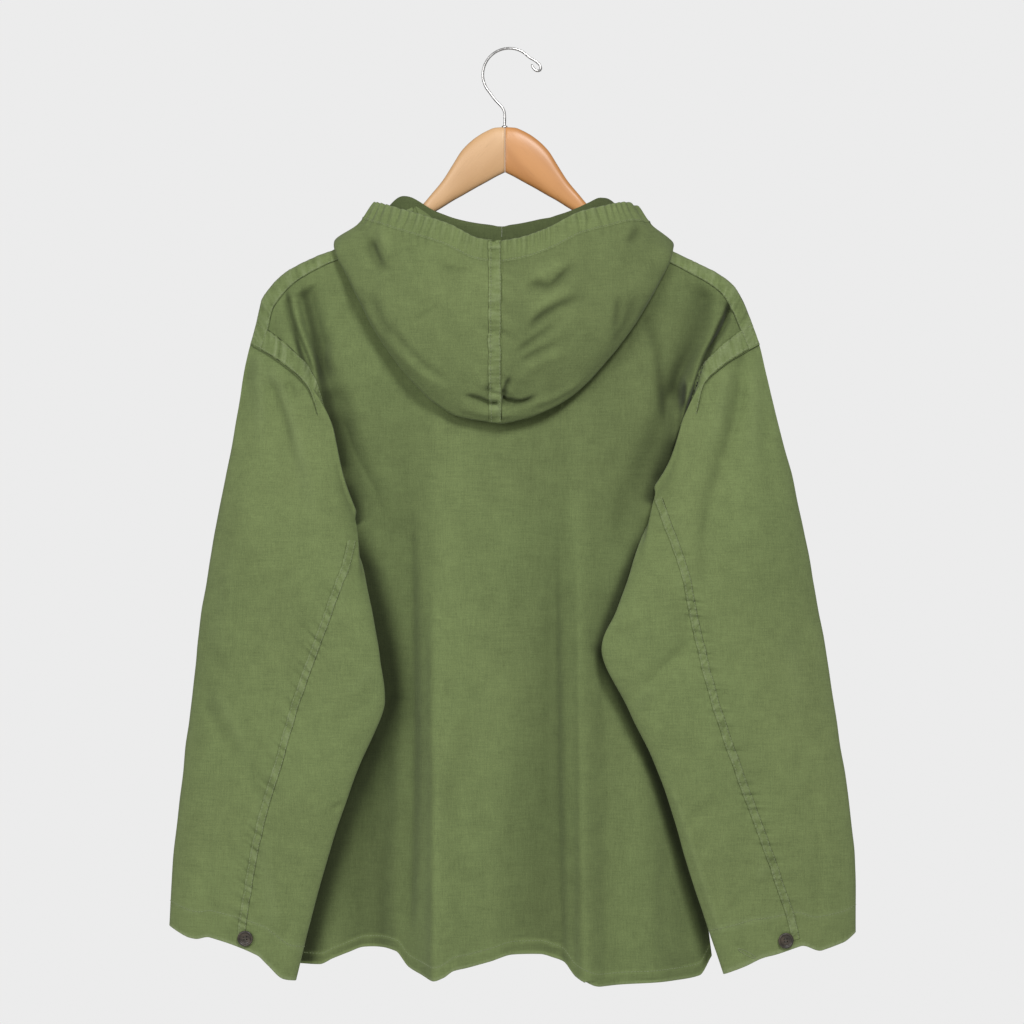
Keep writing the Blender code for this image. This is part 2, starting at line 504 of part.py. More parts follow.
def hood(table, panels, angles=HOOD_ANGLES):
    """The hood's half and the casing along its rim, as two grids.

    Each section runs from the neck seam over the top of the inner layer, down the back, round the bottom fold
    and up over the belly to the rim.  The casing has the last CASING_WIDTH of it.  The inner layer is moved out
    where it would come closer than HOOD_CLEARANCE to a panel.
    """
    table = np.asarray(table, dtype=float)
    angles = np.asarray(angles, dtype=float)
    column = dict(zip(HOOD_COLUMNS[1:], smooth(table[:, 0], table[:, 1:], angles, free=True).T))
    side = math.copysign(1, table[4, 1])
    top, fold, belly, rim = (np.stack([column[f"{point}_{axis}"] for axis in "xyz"], axis=-1)
                             for point in ("top", "fold", "belly", "rim"))
    for point in (top, fold, belly, rim):
        point[[0, -1], 0] += side * HOOD_HALF_GAP
    radius, press = column["radius"][:, None], column["press"][:, None]
    neckline = neck(np.linspace(0, 180, 721) * side)
    along = np.gradient(neckline, axis=0)
    along /= np.linalg.norm(along, axis=1, keepdims=True)
    upward = np.array((0, 0, 1)) - along * along[:, 2:3]
    upward /= np.linalg.norm(upward, axis=1, keepdims=True)
    seam = (neckline + HOOD_RISE * upward)[np.rint(angles * 4).astype(int)]
    seam[0, 0] = HOOD_SEAM_X + side * HOOD_HALF_GAP
    seam[-1, 0] = side * HOOD_HALF_GAP
    toward = (rim - seam) * (1, 1, 0)
    toward[[0, -1], 0] = 0
    toward /= np.linalg.norm(toward, axis=1, keepdims=True)
    inner = fold - toward * radius + (0, 0, FOLD_TALL) * radius
    outer = fold + toward * radius + (0, 0, FOLD_TALL) * radius
    down = (inner - top) / np.linalg.norm(inner - top, axis=1, keepdims=True)
    away = toward - down * np.sum(toward * down, axis=1, keepdims=True)
    away /= np.linalg.norm(away, axis=1, keepdims=True)
    sag = 0.5 * (top + inner) - away * press
    stops = np.stack([seam, top, sag, inner, fold, outer, belly, rim])

    fine_at = np.linspace(0, 1, HOOD_SAMPLES)
    fine = smooth(HOOD_STOPS, stops, fine_at, free=True)
    steps = np.linalg.norm(np.diff(fine, axis=0), axis=2)
    reached = np.concatenate([np.zeros((1, len(angles))), np.cumsum(steps, axis=0)])
    to_rim = reached[-1] - reached
    rows = np.asarray(HOOD_ROWS, dtype=float)
    body, casing = [], []
    for column in range(len(angles)):
        line, left = fine[:, column], to_rim[:, column]
        end = np.interp(-(CASING_WIDTH + SEAM_GAP), -left, fine_at)
        bottom = HOOD_STOPS[5]
        at = np.where(rows < bottom, rows, bottom + (rows - bottom) * (end - bottom) / (1 - bottom))
        part = np.stack([np.interp(at, fine_at, line[:, axis]) for axis in range(3)], axis=-1)
        behind = angles[column] < 90
        for row in np.flatnonzero((rows > 0.05) & (rows < bottom) & (angles[column] != 90)):
            part[row] = laid_outside(part[row], panels[0 if behind else 1], 1 if behind else -1)
        body.append(part.T)
        strip = np.array([-CASING_WIDTH, -CASING_WIDTH / 2, 0])
        casing.append([np.interp(strip, -left, line[:, axis]) for axis in range(3)])
    return np.transpose(body, (2, 0, 1)), np.transpose(casing, (2, 0, 1))


def gathered(points):
    """The casing in steps of half a gather along the rim, rippled in and out square to the cloth."""
    reached = by_length(points[-1])
    at = np.linspace(0, 1, 2 * GATHERS + 1)
    fine = np.stack([[np.interp(at, reached, row[:, axis]) for axis in range(3)] for row in points])
    fine = np.transpose(fine, (0, 2, 1))
    normal = np.cross(np.gradient(fine, axis=1), np.gradient(fine, axis=0))
    normal /= np.linalg.norm(normal, axis=2, keepdims=True)
    ripple = np.cos(np.pi * np.arange(len(at)))
    ripple[[0, -1]] = 0
    return fine + GATHER_DEPTH * ripple[None, :, None] * normal


# ---------------------------------------------------------------- hanger and buttons

def hanger_arm(name, side):
    """One arm, lofted through rounded sections from the mitre to the tip."""
    sections = np.asarray(ARM_SECTIONS, dtype=float)
    turn = np.arange(ARM_ROUNDS) * 2 * np.pi / ARM_ROUNDS
    across = np.sign(np.sin(turn)) * np.abs(np.sin(turn)) ** ARM_SQUARENESS
    upright = np.sign(np.cos(turn)) * np.abs(np.cos(turn)) ** ARM_SQUARENESS
    x, top, under, half = sections.T
    points = np.stack([
        np.repeat((side * (x + SEAM_GAP / 2))[:, None], ARM_ROUNDS, axis=1),
        half[:, None] * across,
        ((top + under) / 2)[:, None] + ((top - under) / 2)[:, None] * upright], axis=-1)
    mesh = grid_mesh(name, points, closed=True)
    shape = bmesh.new()
    shape.from_mesh(mesh)
    bmesh.ops.holes_fill(shape, edges=[edge for edge in shape.edges if edge.is_boundary])
    bmesh.ops.recalc_face_normals(shape, faces=shape.faces)
    shape.to_mesh(mesh)
    shape.free()
    made = add_object(name, mesh, "beech")
    mesh.set_sharp_from_angle(angle=math.radians(50))
    return made


def hanger_hook():
    """The steel wire: a stem up from the mitre, round the hook, to its turned tip."""
    inside = HOOK_RADIUS - WIRE_RADIUS
    centre_z = -math.sqrt(inside**2 - HOOK_CENTRE_X**2)
    turn = np.radians(np.linspace(HOOK_START, HOOK_END, HOOK_STEPS))
    bend = np.stack([HOOK_CENTRE_X + HOOK_RADIUS * np.cos(turn), centre_z + HOOK_RADIUS * np.sin(turn)], axis=-1)
    foot = (HOOK_STEM[0][0], ARM_SECTIONS[0][1] + SEAM_GAP)
    route = np.concatenate([[foot], HOOK_STEM, bend, HOOK_TIP])
    route = smooth(by_length(route), route, np.linspace(0, 1, HOOK_POINTS), free=True)
    curve = bpy.data.curves.new("hanger_hook", "CURVE")
    curve.dimensions = "3D"
    curve.bevel_depth = WIRE_RADIUS * MM
    curve.bevel_resolution = 2
    curve.use_fill_caps = True
    spline = curve.splines.new("POLY")
    spline.points.add(len(route) - 1)
    for point, (x, z) in zip(spline.points, route):
        point.co = (x * MM, 0, z * MM, 1)
    curve.materials.append(material("steel_wire"))
    made = bpy.data.objects.new("hanger_hook", curve)
    bpy.data.collections["hooded_overshirt"].objects.link(made)
    return made


def button(name, points, place):
    """A four-hole button turned about its middle and laid on the back of a sleeve."""
    along, across = place
    rows, columns = np.asarray(SLEEVE_ROWS, dtype=float), points.shape[1]
    turn = math.acos(1 - 2 * across) / (2 * math.pi) * columns
    cell = int(turn)
    strip = points[:, cell] + (points[:, cell + 1] - points[:, cell]) * (turn - cell)
    at = np.array([np.interp(along, rows, strip[:, axis]) for axis in range(3)])
    row = int(np.searchsorted(rows, along)) - 1
    down = points[row + 1, cell] - points[row, cell]
    round_ = points[row, cell + 1] - points[row, cell]
    normal = Vector(np.cross(down, round_)).normalized()
    if normal.y < 0:
        normal.negate()

    mesh = bpy.data.meshes.new(name)
    shape = bmesh.new()
    profile = [shape.verts.new((r * MM, 0, z * MM)) for r, z in BUTTON_PROFILE]
    edges = [shape.edges.new(pair) for pair in zip(profile[:-1], profile[1:])]
    bmesh.ops.spin(shape, geom=profile + edges, cent=(0, 0, 0), axis=(0, 0, 1), angle=2 * math.pi,
                   steps=BUTTON_SEGMENTS)
    bmesh.ops.remove_doubles(shape, verts=shape.verts, dist=0.01 * MM)
    bmesh.ops.recalc_face_normals(shape, faces=shape.faces)
    shape.to_mesh(mesh)
    shape.free()
    made = add_object(name, mesh, "dark_button")
    made.matrix_world = (Matrix.Translation(Vector(at) * MM + normal * BUTTON_LIFT * MM)
                         @ normal.to_track_quat("Z", "Y").to_matrix().to_4x4())
    for number in range(4):
        angle = math.radians(BUTTON_TURN + 90 * number)
        spot = Vector((BUTTON_HOLE_OFFSET * math.cos(angle), BUTTON_HOLE_OFFSET * math.sin(angle), 1)) * MM
        drill = bmesh.new()
        bmesh.ops.create_cone(drill, cap_ends=True, segments=8, radius1=BUTTON_HOLE_RADIUS * MM,
                              radius2=BUTTON_HOLE_RADIUS * MM, depth=10 * MM)
        hole_mesh = bpy.data.meshes.new(f"{name}_hole")
        drill.to_mesh(hole_mesh)
        drill.free()
        hole = bpy.data.objects.new(f"{name}_hole_{number}", hole_mesh)
        hole.matrix_world = made.matrix_world @ Matrix.Translation(spot)
        hole.hide_render = True
        hole.display_type = "WIRE"
        bpy.data.collections["cutters"].objects.link(hole)
        cut = made.modifiers.new(f"hole_{number}", "BOOLEAN")
        cut.operation = "DIFFERENCE"
        cut.object = hole
    return made


# ---------------------------------------------------------------- the whole object

def main():
    for old in list(bpy.data.objects):
        bpy.data.objects.remove(old)
    for name in ("hooded_overshirt", "cutters"):
        bpy.context.scene.collection.children.link(bpy.data.collections.new(name))

    back = panel(1, BACK_MIDDLE, BACK_HEM, BACK_FOLDS)
    front = panel(-1, FRONT_MIDDLE, FRONT_HEM, FRONT_FOLDS)
    cloth("back_panel", back)
    cloth("front_panel", front)

    left_sleeve = sleeve(SLEEVE_LEFT, (back, front), CUFF_DROP_LEFT, SLEEVE_FOLDS_LEFT)
    right_sleeve = sleeve(SLEEVE_RIGHT, (back, front), CUFF_DROP_RIGHT, SLEEVE_FOLDS_RIGHT)
    cloth("sleeve_left", left_sleeve, closed=True)
    cloth("sleeve_right", right_sleeve, closed=True)
    button("cuff_button_left", left_sleeve, CUFF_BUTTONS["left"])
    button("cuff_button_right", right_sleeve, CUFF_BUTTONS["right"])

    panels = surface_tree(back), surface_tree(front)
    for name, table in (("left", HOOD_LEFT), ("right", HOOD_RIGHT)):
        half, casing = hood(table, panels)
        cloth(f"hood_{name}", half)
        cloth(f"hood_casing_{name}", gathered(casing))

    hanger_arm("hanger_arm_left", 1)
    hanger_arm("hanger_arm_right", -1)
    hanger_hook()


main()
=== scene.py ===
"""Hooded overshirt on a wooden clothes hanger, dressed over its solids: cloth, sewing, wood and wire.

Metres, +Z up, the garment's back towards +Y and the wearer's left towards +X.  Sizes and tables are in
millimetres, as on a cutter's sheet, and MM turns them into metres where a mesh is made.
"""

import logging
import math
from dataclasses import dataclass
from enum import Enum
from typing import Optional, Sequence, Union

import bpy
import numpy as np
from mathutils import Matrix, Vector
from mathutils.bvhtree import BVHTree

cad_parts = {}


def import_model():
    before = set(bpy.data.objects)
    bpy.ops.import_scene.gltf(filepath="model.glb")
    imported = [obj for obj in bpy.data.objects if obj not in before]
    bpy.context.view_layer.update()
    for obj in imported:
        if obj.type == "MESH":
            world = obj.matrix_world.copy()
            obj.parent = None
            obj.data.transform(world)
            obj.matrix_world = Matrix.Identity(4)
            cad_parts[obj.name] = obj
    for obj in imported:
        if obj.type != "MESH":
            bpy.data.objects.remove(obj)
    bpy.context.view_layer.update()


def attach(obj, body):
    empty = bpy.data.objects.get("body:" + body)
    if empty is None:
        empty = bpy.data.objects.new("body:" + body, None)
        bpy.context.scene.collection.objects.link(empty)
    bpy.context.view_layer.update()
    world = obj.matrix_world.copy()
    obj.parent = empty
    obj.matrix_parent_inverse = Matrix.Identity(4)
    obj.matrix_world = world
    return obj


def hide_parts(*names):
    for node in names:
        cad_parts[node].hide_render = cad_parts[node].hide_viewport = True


LOG = logging.getLogger("hooded_overshirt")
MM = 0.001
Array = np.ndarray
Table = Sequence[Sequence[float]]


class Side(Enum):
    """The wearer's side that a piece belongs to, as the sign of its x."""

    LEFT = 1
    RIGHT = -1


class Face(Enum):
    """The way that a piece faces, as the sign of its y."""

    BACK = 1
    FRONT = -1


# ---------------------------------------------------------------- curves and unevenness


def smooth(knots: Array, values: Array, at: Array, free: bool = False) -> Array:
    """A smooth curve through knots, as cubic pieces that share their slopes.

    Args:
        knots: Rising numbers, one for each row of values.
        values: What the curve passes through.
        at: Where it is read, of any shape.
        free: Whether it may swing past its knots.

    Returns:
        The values at `at`, shaped as `at` followed by one row of values.
    """
    knots = np.asarray(knots, dtype=float)
    values = np.asarray(values, dtype=float)
    at = np.asarray(at, dtype=float)
    flat = values.reshape(len(knots), -1)
    width = np.diff(knots)[:, None]
    rise = np.diff(flat, axis=0) / width
    if free:
        inner = (rise[:-1] * width[1:] + rise[1:] * width[:-1]) / (width[:-1] + width[1:])
    else:
        product = rise[:-1] * rise[1:]
        total = np.where(product > 0, rise[:-1] + rise[1:], 1.0)
        inner = np.where(product > 0, 2 * product / total, 0.0)
    slope = np.vstack([rise[:1], inner, rise[-1:]])
    cell = np.clip(np.searchsorted(knots, at.ravel(), side="right") - 1, 0, len(knots) - 2)
    step = width[cell]
    t = ((at.ravel() - knots[cell]) / step[:, 0])[:, None]
    result = ((2 * t**3 - 3 * t**2 + 1) * flat[cell] + (t**3 - 2 * t**2 + t) * step * slope[cell]
              + (3 * t**2 - 2 * t**3) * flat[cell + 1] + (t**3 - t**2) * step * slope[cell + 1])
    return result.reshape(at.shape + values.shape[1:])


def length_share(points: Array) -> Array:
    """The share of a line's whole length that is reached at each of its points."""
    reached = np.concatenate([[0], np.cumsum(np.linalg.norm(np.diff(points, axis=0), axis=1))])
    return reached / reached[-1]


def evenly(points: Array, step: float, free: bool = True) -> Array:
    """The points of a smooth line through `points`, about `step` apart."""
    points = np.asarray(points, dtype=float)
    fine = smooth(length_share(points), points, np.linspace(0, 1, 40 * len(points)), free=free)
    length = float(np.sum(np.linalg.norm(np.diff(fine, axis=0), axis=1)))
    count = max(3, int(round(length / step)) + 1)
    share = length_share(fine)
    at = np.linspace(0, 1, count)
    return np.stack([np.interp(at, share, fine[:, axis]) for axis in range(points.shape[1])], axis=-1)


def ease(low: float, high: float, value: Array) -> Array:
    """0 below low and 1 above high, with a smooth step between."""
    t = np.clip((np.asarray(value, dtype=float) - low) / (high - low), 0, 1)
    return t * t * (3 - 2 * t)


def unit(vectors: Array) -> Array:
    """The vectors made one long."""
    return vectors / np.maximum(np.linalg.norm(vectors, axis=-1, keepdims=True), 1e-9)


def wander(x: Array, z: Array, across: float, down: float, seed: int) -> Array:
    """Random height from -1 to 1 in soft bumps, blended between the corners of an uneven lattice.

    Args:
        x: Where it is read, across.
        z: Where it is read, down.
        across: Size of a bump across.
        down: Size of a bump down.
        seed: Which lattice.

    Returns:
        The height at each point.
    """
    lattice = np.random.default_rng(seed).uniform(-1, 1, (64, 64))
    s, t = np.asarray(x) / across + 500.37, np.asarray(z) / down + 500.71
    i, j = np.floor(s).astype(int), np.floor(t).astype(int)
    f, g = s - i, t - j
    f, g = f * f * (3 - 2 * f), g * g * (3 - 2 * g)
    i, j, k, m = i % 64, j % 64, (i + 1) % 64, (j + 1) % 64
    return ((lattice[i, j] * (1 - f) + lattice[k, j] * f) * (1 - g)
            + (lattice[i, m] * (1 - f) + lattice[k, m] * f) * g)


@dataclass(frozen=True)
class Fold:
    """A wide straight fold: a bell across it, from one depth at its start to another at its end."""

    start: tuple[float, float]
    end: tuple[float, float]
    left: float
    right: float
    depth: tuple[float, float]

    def height(self, x: Array, z: Array) -> Array:
        """The fold's height over points x, z."""
        dx, dz = self.end[0] - self.start[0], self.end[1] - self.start[1]
        share = ((x - self.start[0]) * dx + (z - self.start[1]) * dz) / (dx * dx + dz * dz)
        inside = np.clip(share, 0, 1)
        off = x - (self.start[0] + inside * dx)
        along = (share - inside) * math.hypot(dx, dz)
        width = np.where(off > 0, self.left, self.right)
        depth = self.depth[0] + (self.depth[1] - self.depth[0]) * inside
        return depth * np.exp(-(off / width) ** 2 - (along / (0.5 * (self.left + self.right))) ** 2)


@dataclass(frozen=True)
class Crease:
    """A crease along a bending path: a bell across it, with a width on each side, that dies out at its ends.

    A depth over 0 is a ridge and one under 0 a trough.  left is its half width towards the wearer's left, or
    upwards on a level crease, and right the other one.  A pitch over 0 breaks it into puckers of that length.
    """

    path: tuple[tuple[float, float], ...]
    depth: tuple[float, float]
    left: float
    right: float
    fade: tuple[float, float] = (0.3, 0.3)
    pitch: float = 0.0

    def height(self, x: Array, z: Array) -> Array:
        """The crease's height over points x, z."""
        line = evenly(np.asarray(self.path, dtype=float), 6.0)
        share = length_share(line)
        reach = 3 * max(self.left, self.right)
        near = ((x > line[:, 0].min() - reach) & (x < line[:, 0].max() + reach)
                & (z > line[:, 1].min() - reach) & (z < line[:, 1].max() + reach))
        result = np.zeros_like(x)
        if not near.any():
            return result
        px, pz = x[near], z[near]
        best, off, run = (np.full(px.shape, value) for value in (np.inf, 0.0, 0.0))
        for (ax, az), (bx, bz), s0, s1 in zip(line[:-1], line[1:], share[:-1], share[1:]):
            dx, dz = bx - ax, bz - az
            t = np.clip(((px - ax) * dx + (pz - az) * dz) / (dx * dx + dz * dz), 0, 1)
            gx, gz = px - (ax + t * dx), pz - (az + t * dz)
            distance = np.hypot(gx, gz)
            turn = math.copysign(1, -dz if abs(dz) > 0.5 * abs(dx) else dx)
            signed = distance * np.sign(turn * (gz * dx - gx * dz))
            closer = distance < best
            best = np.where(closer, distance, best)
            off = np.where(closer, signed, off)
            run = np.where(closer, s0 + t * (s1 - s0), run)
        width = np.where(off > 0, self.left, self.right)
        depth = self.depth[0] + (self.depth[1] - self.depth[0]) * run
        ends = ease(0, max(self.fade[0], 1e-6), run) * ease(0, max(self.fade[1], 1e-6), 1 - run)
        if self.pitch > 0:
            length = float(np.sum(np.linalg.norm(np.diff(line, axis=0), axis=1)))
            ends = ends * wander(run * length + 0.4 * off, run * 0, 0.5 * self.pitch, 9, 17)
        result[near] = depth * ends * np.exp(-(off / width) ** 2)
        return result


def relief(parts: Sequence[Union[Fold, Crease]], x: Array, z: Array) -> Array:
    """The heights of all folds and creases over points x, z, added up."""
    return sum((part.height(x, z) for part in parts), np.zeros_like(x))


# ---------------------------------------------------------------- shader trees


class Signal:
    """One value in a shader tree, with the signs of arithmetic standing for Math nodes."""

    def __init__(self, tree: "Finish", socket: bpy.types.NodeSocket) -> None:
        """Keeps the tree and the output socket that carries the value."""
        self.tree = tree
        self.socket = socket

    def _math(self, operation: str, *others: Union["Signal", float]) -> "Signal":
        """A Math node over this value and the others."""
        return self.tree.node("ShaderNodeMath", {"operation": operation}, dict(enumerate((self, *others))))

    def __add__(self, other: Union["Signal", float]) -> "Signal":
        """This plus the other."""
        return self._math("ADD", other)

    __radd__ = __add__

    def __sub__(self, other: Union["Signal", float]) -> "Signal":
        """This less the other."""
        return self._math("SUBTRACT", other)

    def __rsub__(self, other: float) -> "Signal":
        """The other less this."""
        return self.tree.node("ShaderNodeMath", {"operation": "SUBTRACT"}, {0: other, 1: self})

    def __mul__(self, other: Union["Signal", float]) -> "Signal":
        """This times the other."""
        return self._math("MULTIPLY", other)

    __rmul__ = __mul__

    def __truediv__(self, other: Union["Signal", float]) -> "Signal":
        """This over the other."""
        return self._math("DIVIDE", other)

    def __rtruediv__(self, other: float) -> "Signal":
        """The other over this."""
        return self.tree.node("ShaderNodeMath", {"operation": "DIVIDE"}, {0: other, 1: self})

    def __pow__(self, other: Union["Signal", float]) -> "Signal":
        """This to the power of the other."""
        return self._math("POWER", other)

    def __rpow__(self, other: float) -> "Signal":
        """The other to the power of this."""
        return self.tree.node("ShaderNodeMath", {"operation": "POWER"}, {0: other, 1: self})

    def sine(self) -> "Signal":
        """The sine of this, in radians."""
        return self._math("SINE")

    def step(self, low: float, high: float, to_low: float = 0.0, to_high: float = 1.0) -> "Signal":
        """A smooth step from to_low, at low, to to_high, at high."""
        return self.tree.node("ShaderNodeMapRange", {"interpolation_type": "SMOOTHSTEP"},
                              {"Value": self, "From Min": low, "From Max": high, "To Min": to_low,
                               "To Max": to_high})


class Finish:
    """A material under construction: its nodes, and the shader that they end in."""

    def __init__(self, name: str, roughness: float, metallic: float = 0.0) -> None:
        """Starts a material with one Principled shader.

        Args:
            name: The material's name.
            roughness: The same all over unless a signal replaces it.
            metallic: 1 for bare metal.
        """
        self.material = bpy.data.materials.new(name)
        self.material.use_nodes = True
        self.nodes = self.material.node_tree.nodes
        self.links = self.material.node_tree.links
        self.shader = self.nodes["Principled BSDF"]
        self.set("Roughness", roughness)
        self.set("Metallic", metallic)

    def set(self, name: str, value: Union[Signal, float, tuple]) -> None:
        """Puts a value or a signal on the shader's socket of that name."""
        self._fill(self.shader.inputs[name], value)

    def _fill(self, socket: bpy.types.NodeSocket, value: Union[Signal, float, tuple]) -> None:
        """Links a signal to a socket, or sets the socket's own value."""
        if isinstance(value, Signal):
            self.links.new(value.socket, socket)
        elif isinstance(value, tuple) and len(value) == 3 and socket.type == "RGBA":
            socket.default_value = (*value, 1.0)
        else:
            socket.default_value = value

    def node(self, kind: str, settings: Optional[dict] = None, inputs: Optional[dict] = None,
             output: Union[int, str] = 0) -> Signal:
        """A node of a given type.

        Args:
            kind: The node's type.
            settings: Its own settings by name.
            inputs: Values or signals by the name or number of the socket.
            output: The name or number of the output wanted.

        Returns:
            That output.
        """
        made = self.nodes.new(kind)
        for name, value in (settings or {}).items():
            setattr(made, name, value)
        for name, value in (inputs or {}).items():
            self._fill(made.inputs[name], value)
        return Signal(self, made.outputs[output])

    def place(self, scale: tuple[float, float, float] = (1, 1, 1),
              turn: tuple[float, float, float] = (0, 0, 0)) -> Signal:
        """The point on the object in metres, turned and then stretched."""
        where = self.node("ShaderNodeTexCoord", output="Object")
        turned = self.node("ShaderNodeMapping", inputs={"Vector": where, "Rotation": turn})
        return self.node("ShaderNodeVectorMath", {"operation": "MULTIPLY"}, {0: turned, 1: scale})

    def part(self, vector: Signal, axis: str) -> Signal:
        """One of the three numbers, X, Y or Z, of a vector."""
        return self.node("ShaderNodeSeparateXYZ", inputs={0: vector}, output=axis)

    def noise(self, vector: Signal, scale: float, detail: float = 2.0, roughness: float = 0.5) -> Signal:
        """Soft random values from 0 to 1."""
        return self.node("ShaderNodeTexNoise", inputs={"Vector": vector, "Scale": scale, "Detail": detail,
                                                       "Roughness": roughness})

    def attribute(self, name: str) -> Signal:
        """A number stored on the mesh's points."""
        return self.node("ShaderNodeAttribute", {"attribute_name": name}, output="Fac")

    def blend(self, share: Union[Signal, float], first: Union[Signal, tuple],
              second: Union[Signal, tuple]) -> Signal:
        """A colour between two: the first where share is 0 and the second where it is 1."""
        return self.node("ShaderNodeMix", {"data_type": "RGBA"}, {0: share, 6: first, 7: second}, output=2)

    def shade(self, colour: Union[Signal, tuple], by: Union[Signal, float]) -> Signal:
        """A colour made lighter or darker by a factor."""
        return self.node("ShaderNodeVectorMath", {"operation": "SCALE"}, {0: colour, "Scale": by})

    def bump(self, height: Signal, strength: float, distance: float) -> None:
        """Gives the shader a fine relief, `distance` metres deep where height is 1."""
        normal = self.node("ShaderNodeBump", inputs={"Height": height, "Strength": strength,
                                                     "Distance": distance})
        self.set("Normal", normal)


@dataclass(frozen=True)
class CottonFinish:
    """Olive cotton in a plain weave, laundered soft, paler from wear at seams and edges.

    Crests are paler as wear and painted light, and troughs, crease lines, hidden layers and the right side are
    darker as painted shade.
    """

    name: str
    colour: tuple[float, float, float] = (0.151, 0.196, 0.0745)
    faded: tuple[float, float, float] = (0.235, 0.285, 0.142)
    # deep: how dark painted shade makes the cloth where fade reaches -1.
    deep: float = 0.26
    soft: float = 0.18
    thread: float = 0.00055
    depth: float = 0.00016

    def build(self) -> bpy.types.Material:
        """Weave, slubs and cloudy colour, paler where `fade` is over 0 and darker where it is under 0.

        Over 0 is wear, with painted light on crests; under 0 is a darker tone and painted shade.

        Returns:
            The material.
        """
        made = Finish(self.name, 0.88)
        where = made.place()
        cloud = made.noise(where, 9.0, 3.0)
        mottle = made.noise(where, 60.0, 3.0, 0.6)
        slub_down = made.noise(made.place((1000, 1000, 70)), 1.0, 2.0)
        slub_across = made.noise(made.place((70, 70, 1000)), 1.0, 2.0)
        speck = made.noise(where, 1000.0, 2.0, 0.7)
        value = (0.07 + cloud * 0.24 + mottle * 0.34 + slub_down * 0.34 + slub_across * 0.32 + speck
                 * 0.62) * 0.955
        base = made.blend(made.noise(where, 5.0, 2.0).step(0.35, 0.75, 0.0, 0.35), self.colour,
                          (self.colour[0] * 1.07, self.colour[1] * 1.0, self.colour[2] * 1.04))
        # Over 0, fade mixes in the faded colour: wear at hems and seams, and painted light on crests.
        wear_and_painted_light = made.attribute("fade") * made.noise(where, 420.0, 3.0, 0.65).step(0.25, 0.7, 0.35, 1.0)
        wear_and_painted_crest_light = made.blend(wear_and_painted_light, made.shade(base, value), self.faded)
        # Under 0, fade darkens the colour towards deep: a darker tone, and painted shade in troughs and hidden
        # places.
        tone_and_painted_shade = made.attribute("fade").step(-1.0, 0.0, 1.0, 0.0)
        made.set("Base Color", made.blend(tone_and_painted_shade, wear_and_painted_crest_light, made.shade(wear_and_painted_crest_light, self.deep)))
        made.set("Sheen Weight", 0.10)
        made.set("Sheen Roughness", 0.45)
        made.set("Specular IOR Level", self.soft)
        warp = (made.part(where, "X") * (2 * math.pi / self.thread)).sine()
        weft = (made.part(where, "Z") * (2 * math.pi / self.thread)).sine()
        made.bump(warp * weft * 0.35 + slub_down * 0.9 + slub_across * 0.7 + speck * 0.5, 0.55, self.depth)
        return made.material


@dataclass(frozen=True)
class ThreadFinish:
    """Sewing thread, a little paler and shinier than the cloth."""

    name: str
    colour: tuple[float, float, float]

    def build(self) -> bpy.types.Material:
        """Twist across the thread and a little unevenness in its colour.

        Returns:
            The material.
        """
        made = Finish(self.name, 0.6)
        patch = made.noise(made.place(), 180.0, 2.0)
        made.set("Base Color", made.shade(self.colour, 0.78 + patch * 0.44))
        made.set("Sheen Weight", 0.2)
        twist = (made.part(made.place((1, 1, 1), (0.6, 0.5, 0.4)), "X") * 9000.0).sine()
        made.bump(twist, 0.4, 0.00005)
        return made.material


@dataclass(frozen=True)
class WoodFinish:
    """Pale hardwood under a thin satin varnish, with its grain along one arm of the hanger."""

    name: str
    lean: float
    light: tuple[float, float, float]
    dark: tuple[float, float, float]

    def build(self) -> bpy.types.Material:
        """Long streaks along the arm, fine pores, and broad paler and darker bands.

        Returns:
            The material.
        """
        made = Finish(self.name, 0.42)
        along = made.place((5, 60, 60), (0, self.lean, 0))
        bend = made.noise(made.place((7, 7, 7)), 1.0, 2.0)
        rings = (made.part(along, "Z") * 3.1 + bend * 9.0 + made.noise(along, 1.2, 3.0)
                 * 5.0).sine() * 0.5 + 0.5
        pores = made.noise(made.place((40, 1500, 1500), (0, self.lean, 0)), 1.0, 3.0, 0.6)
        broad = made.noise(made.place((6, 22, 22), (0, self.lean, 0)), 1.0, 3.0)
        tone = made.blend(rings * 0.45 + broad.step(0.3, 0.7) * 0.55, self.light, self.dark)
        fleck = made.blend(pores.step(0.60, 0.72, 0.0, 0.45), tone,
                           tuple(0.62 * channel for channel in self.dark))
        made.set("Base Color", fleck)
        made.set("Roughness", 0.36 + pores * 0.16)
        made.set("Coat Weight", 0.25)
        made.set("Coat Roughness", 0.3)
        made.bump(pores * 0.7 + rings * 0.3, 0.35, 0.0002)
        return made.material


@dataclass(frozen=True)
class WireFinish:
    """Bright plated steel wire with faint drawing lines and dull spots."""

    name: str

    def build(self) -> bpy.types.Material:
        """Metal whose roughness varies along the wire.

        Returns:
            The material.
        """
        made = Finish(self.name, 0.3, 1.0)
        spots = made.noise(made.place(), 240.0, 3.0)
        made.set("Base Color", made.shade((0.56, 0.55, 0.54), 0.8 + spots * 0.4))
        made.set("Roughness", spots.step(0.2, 0.8, 0.2, 0.42))
        made.bump(made.noise(made.place(), 2600.0, 2.0), 0.2, 0.00004)
        return made.material


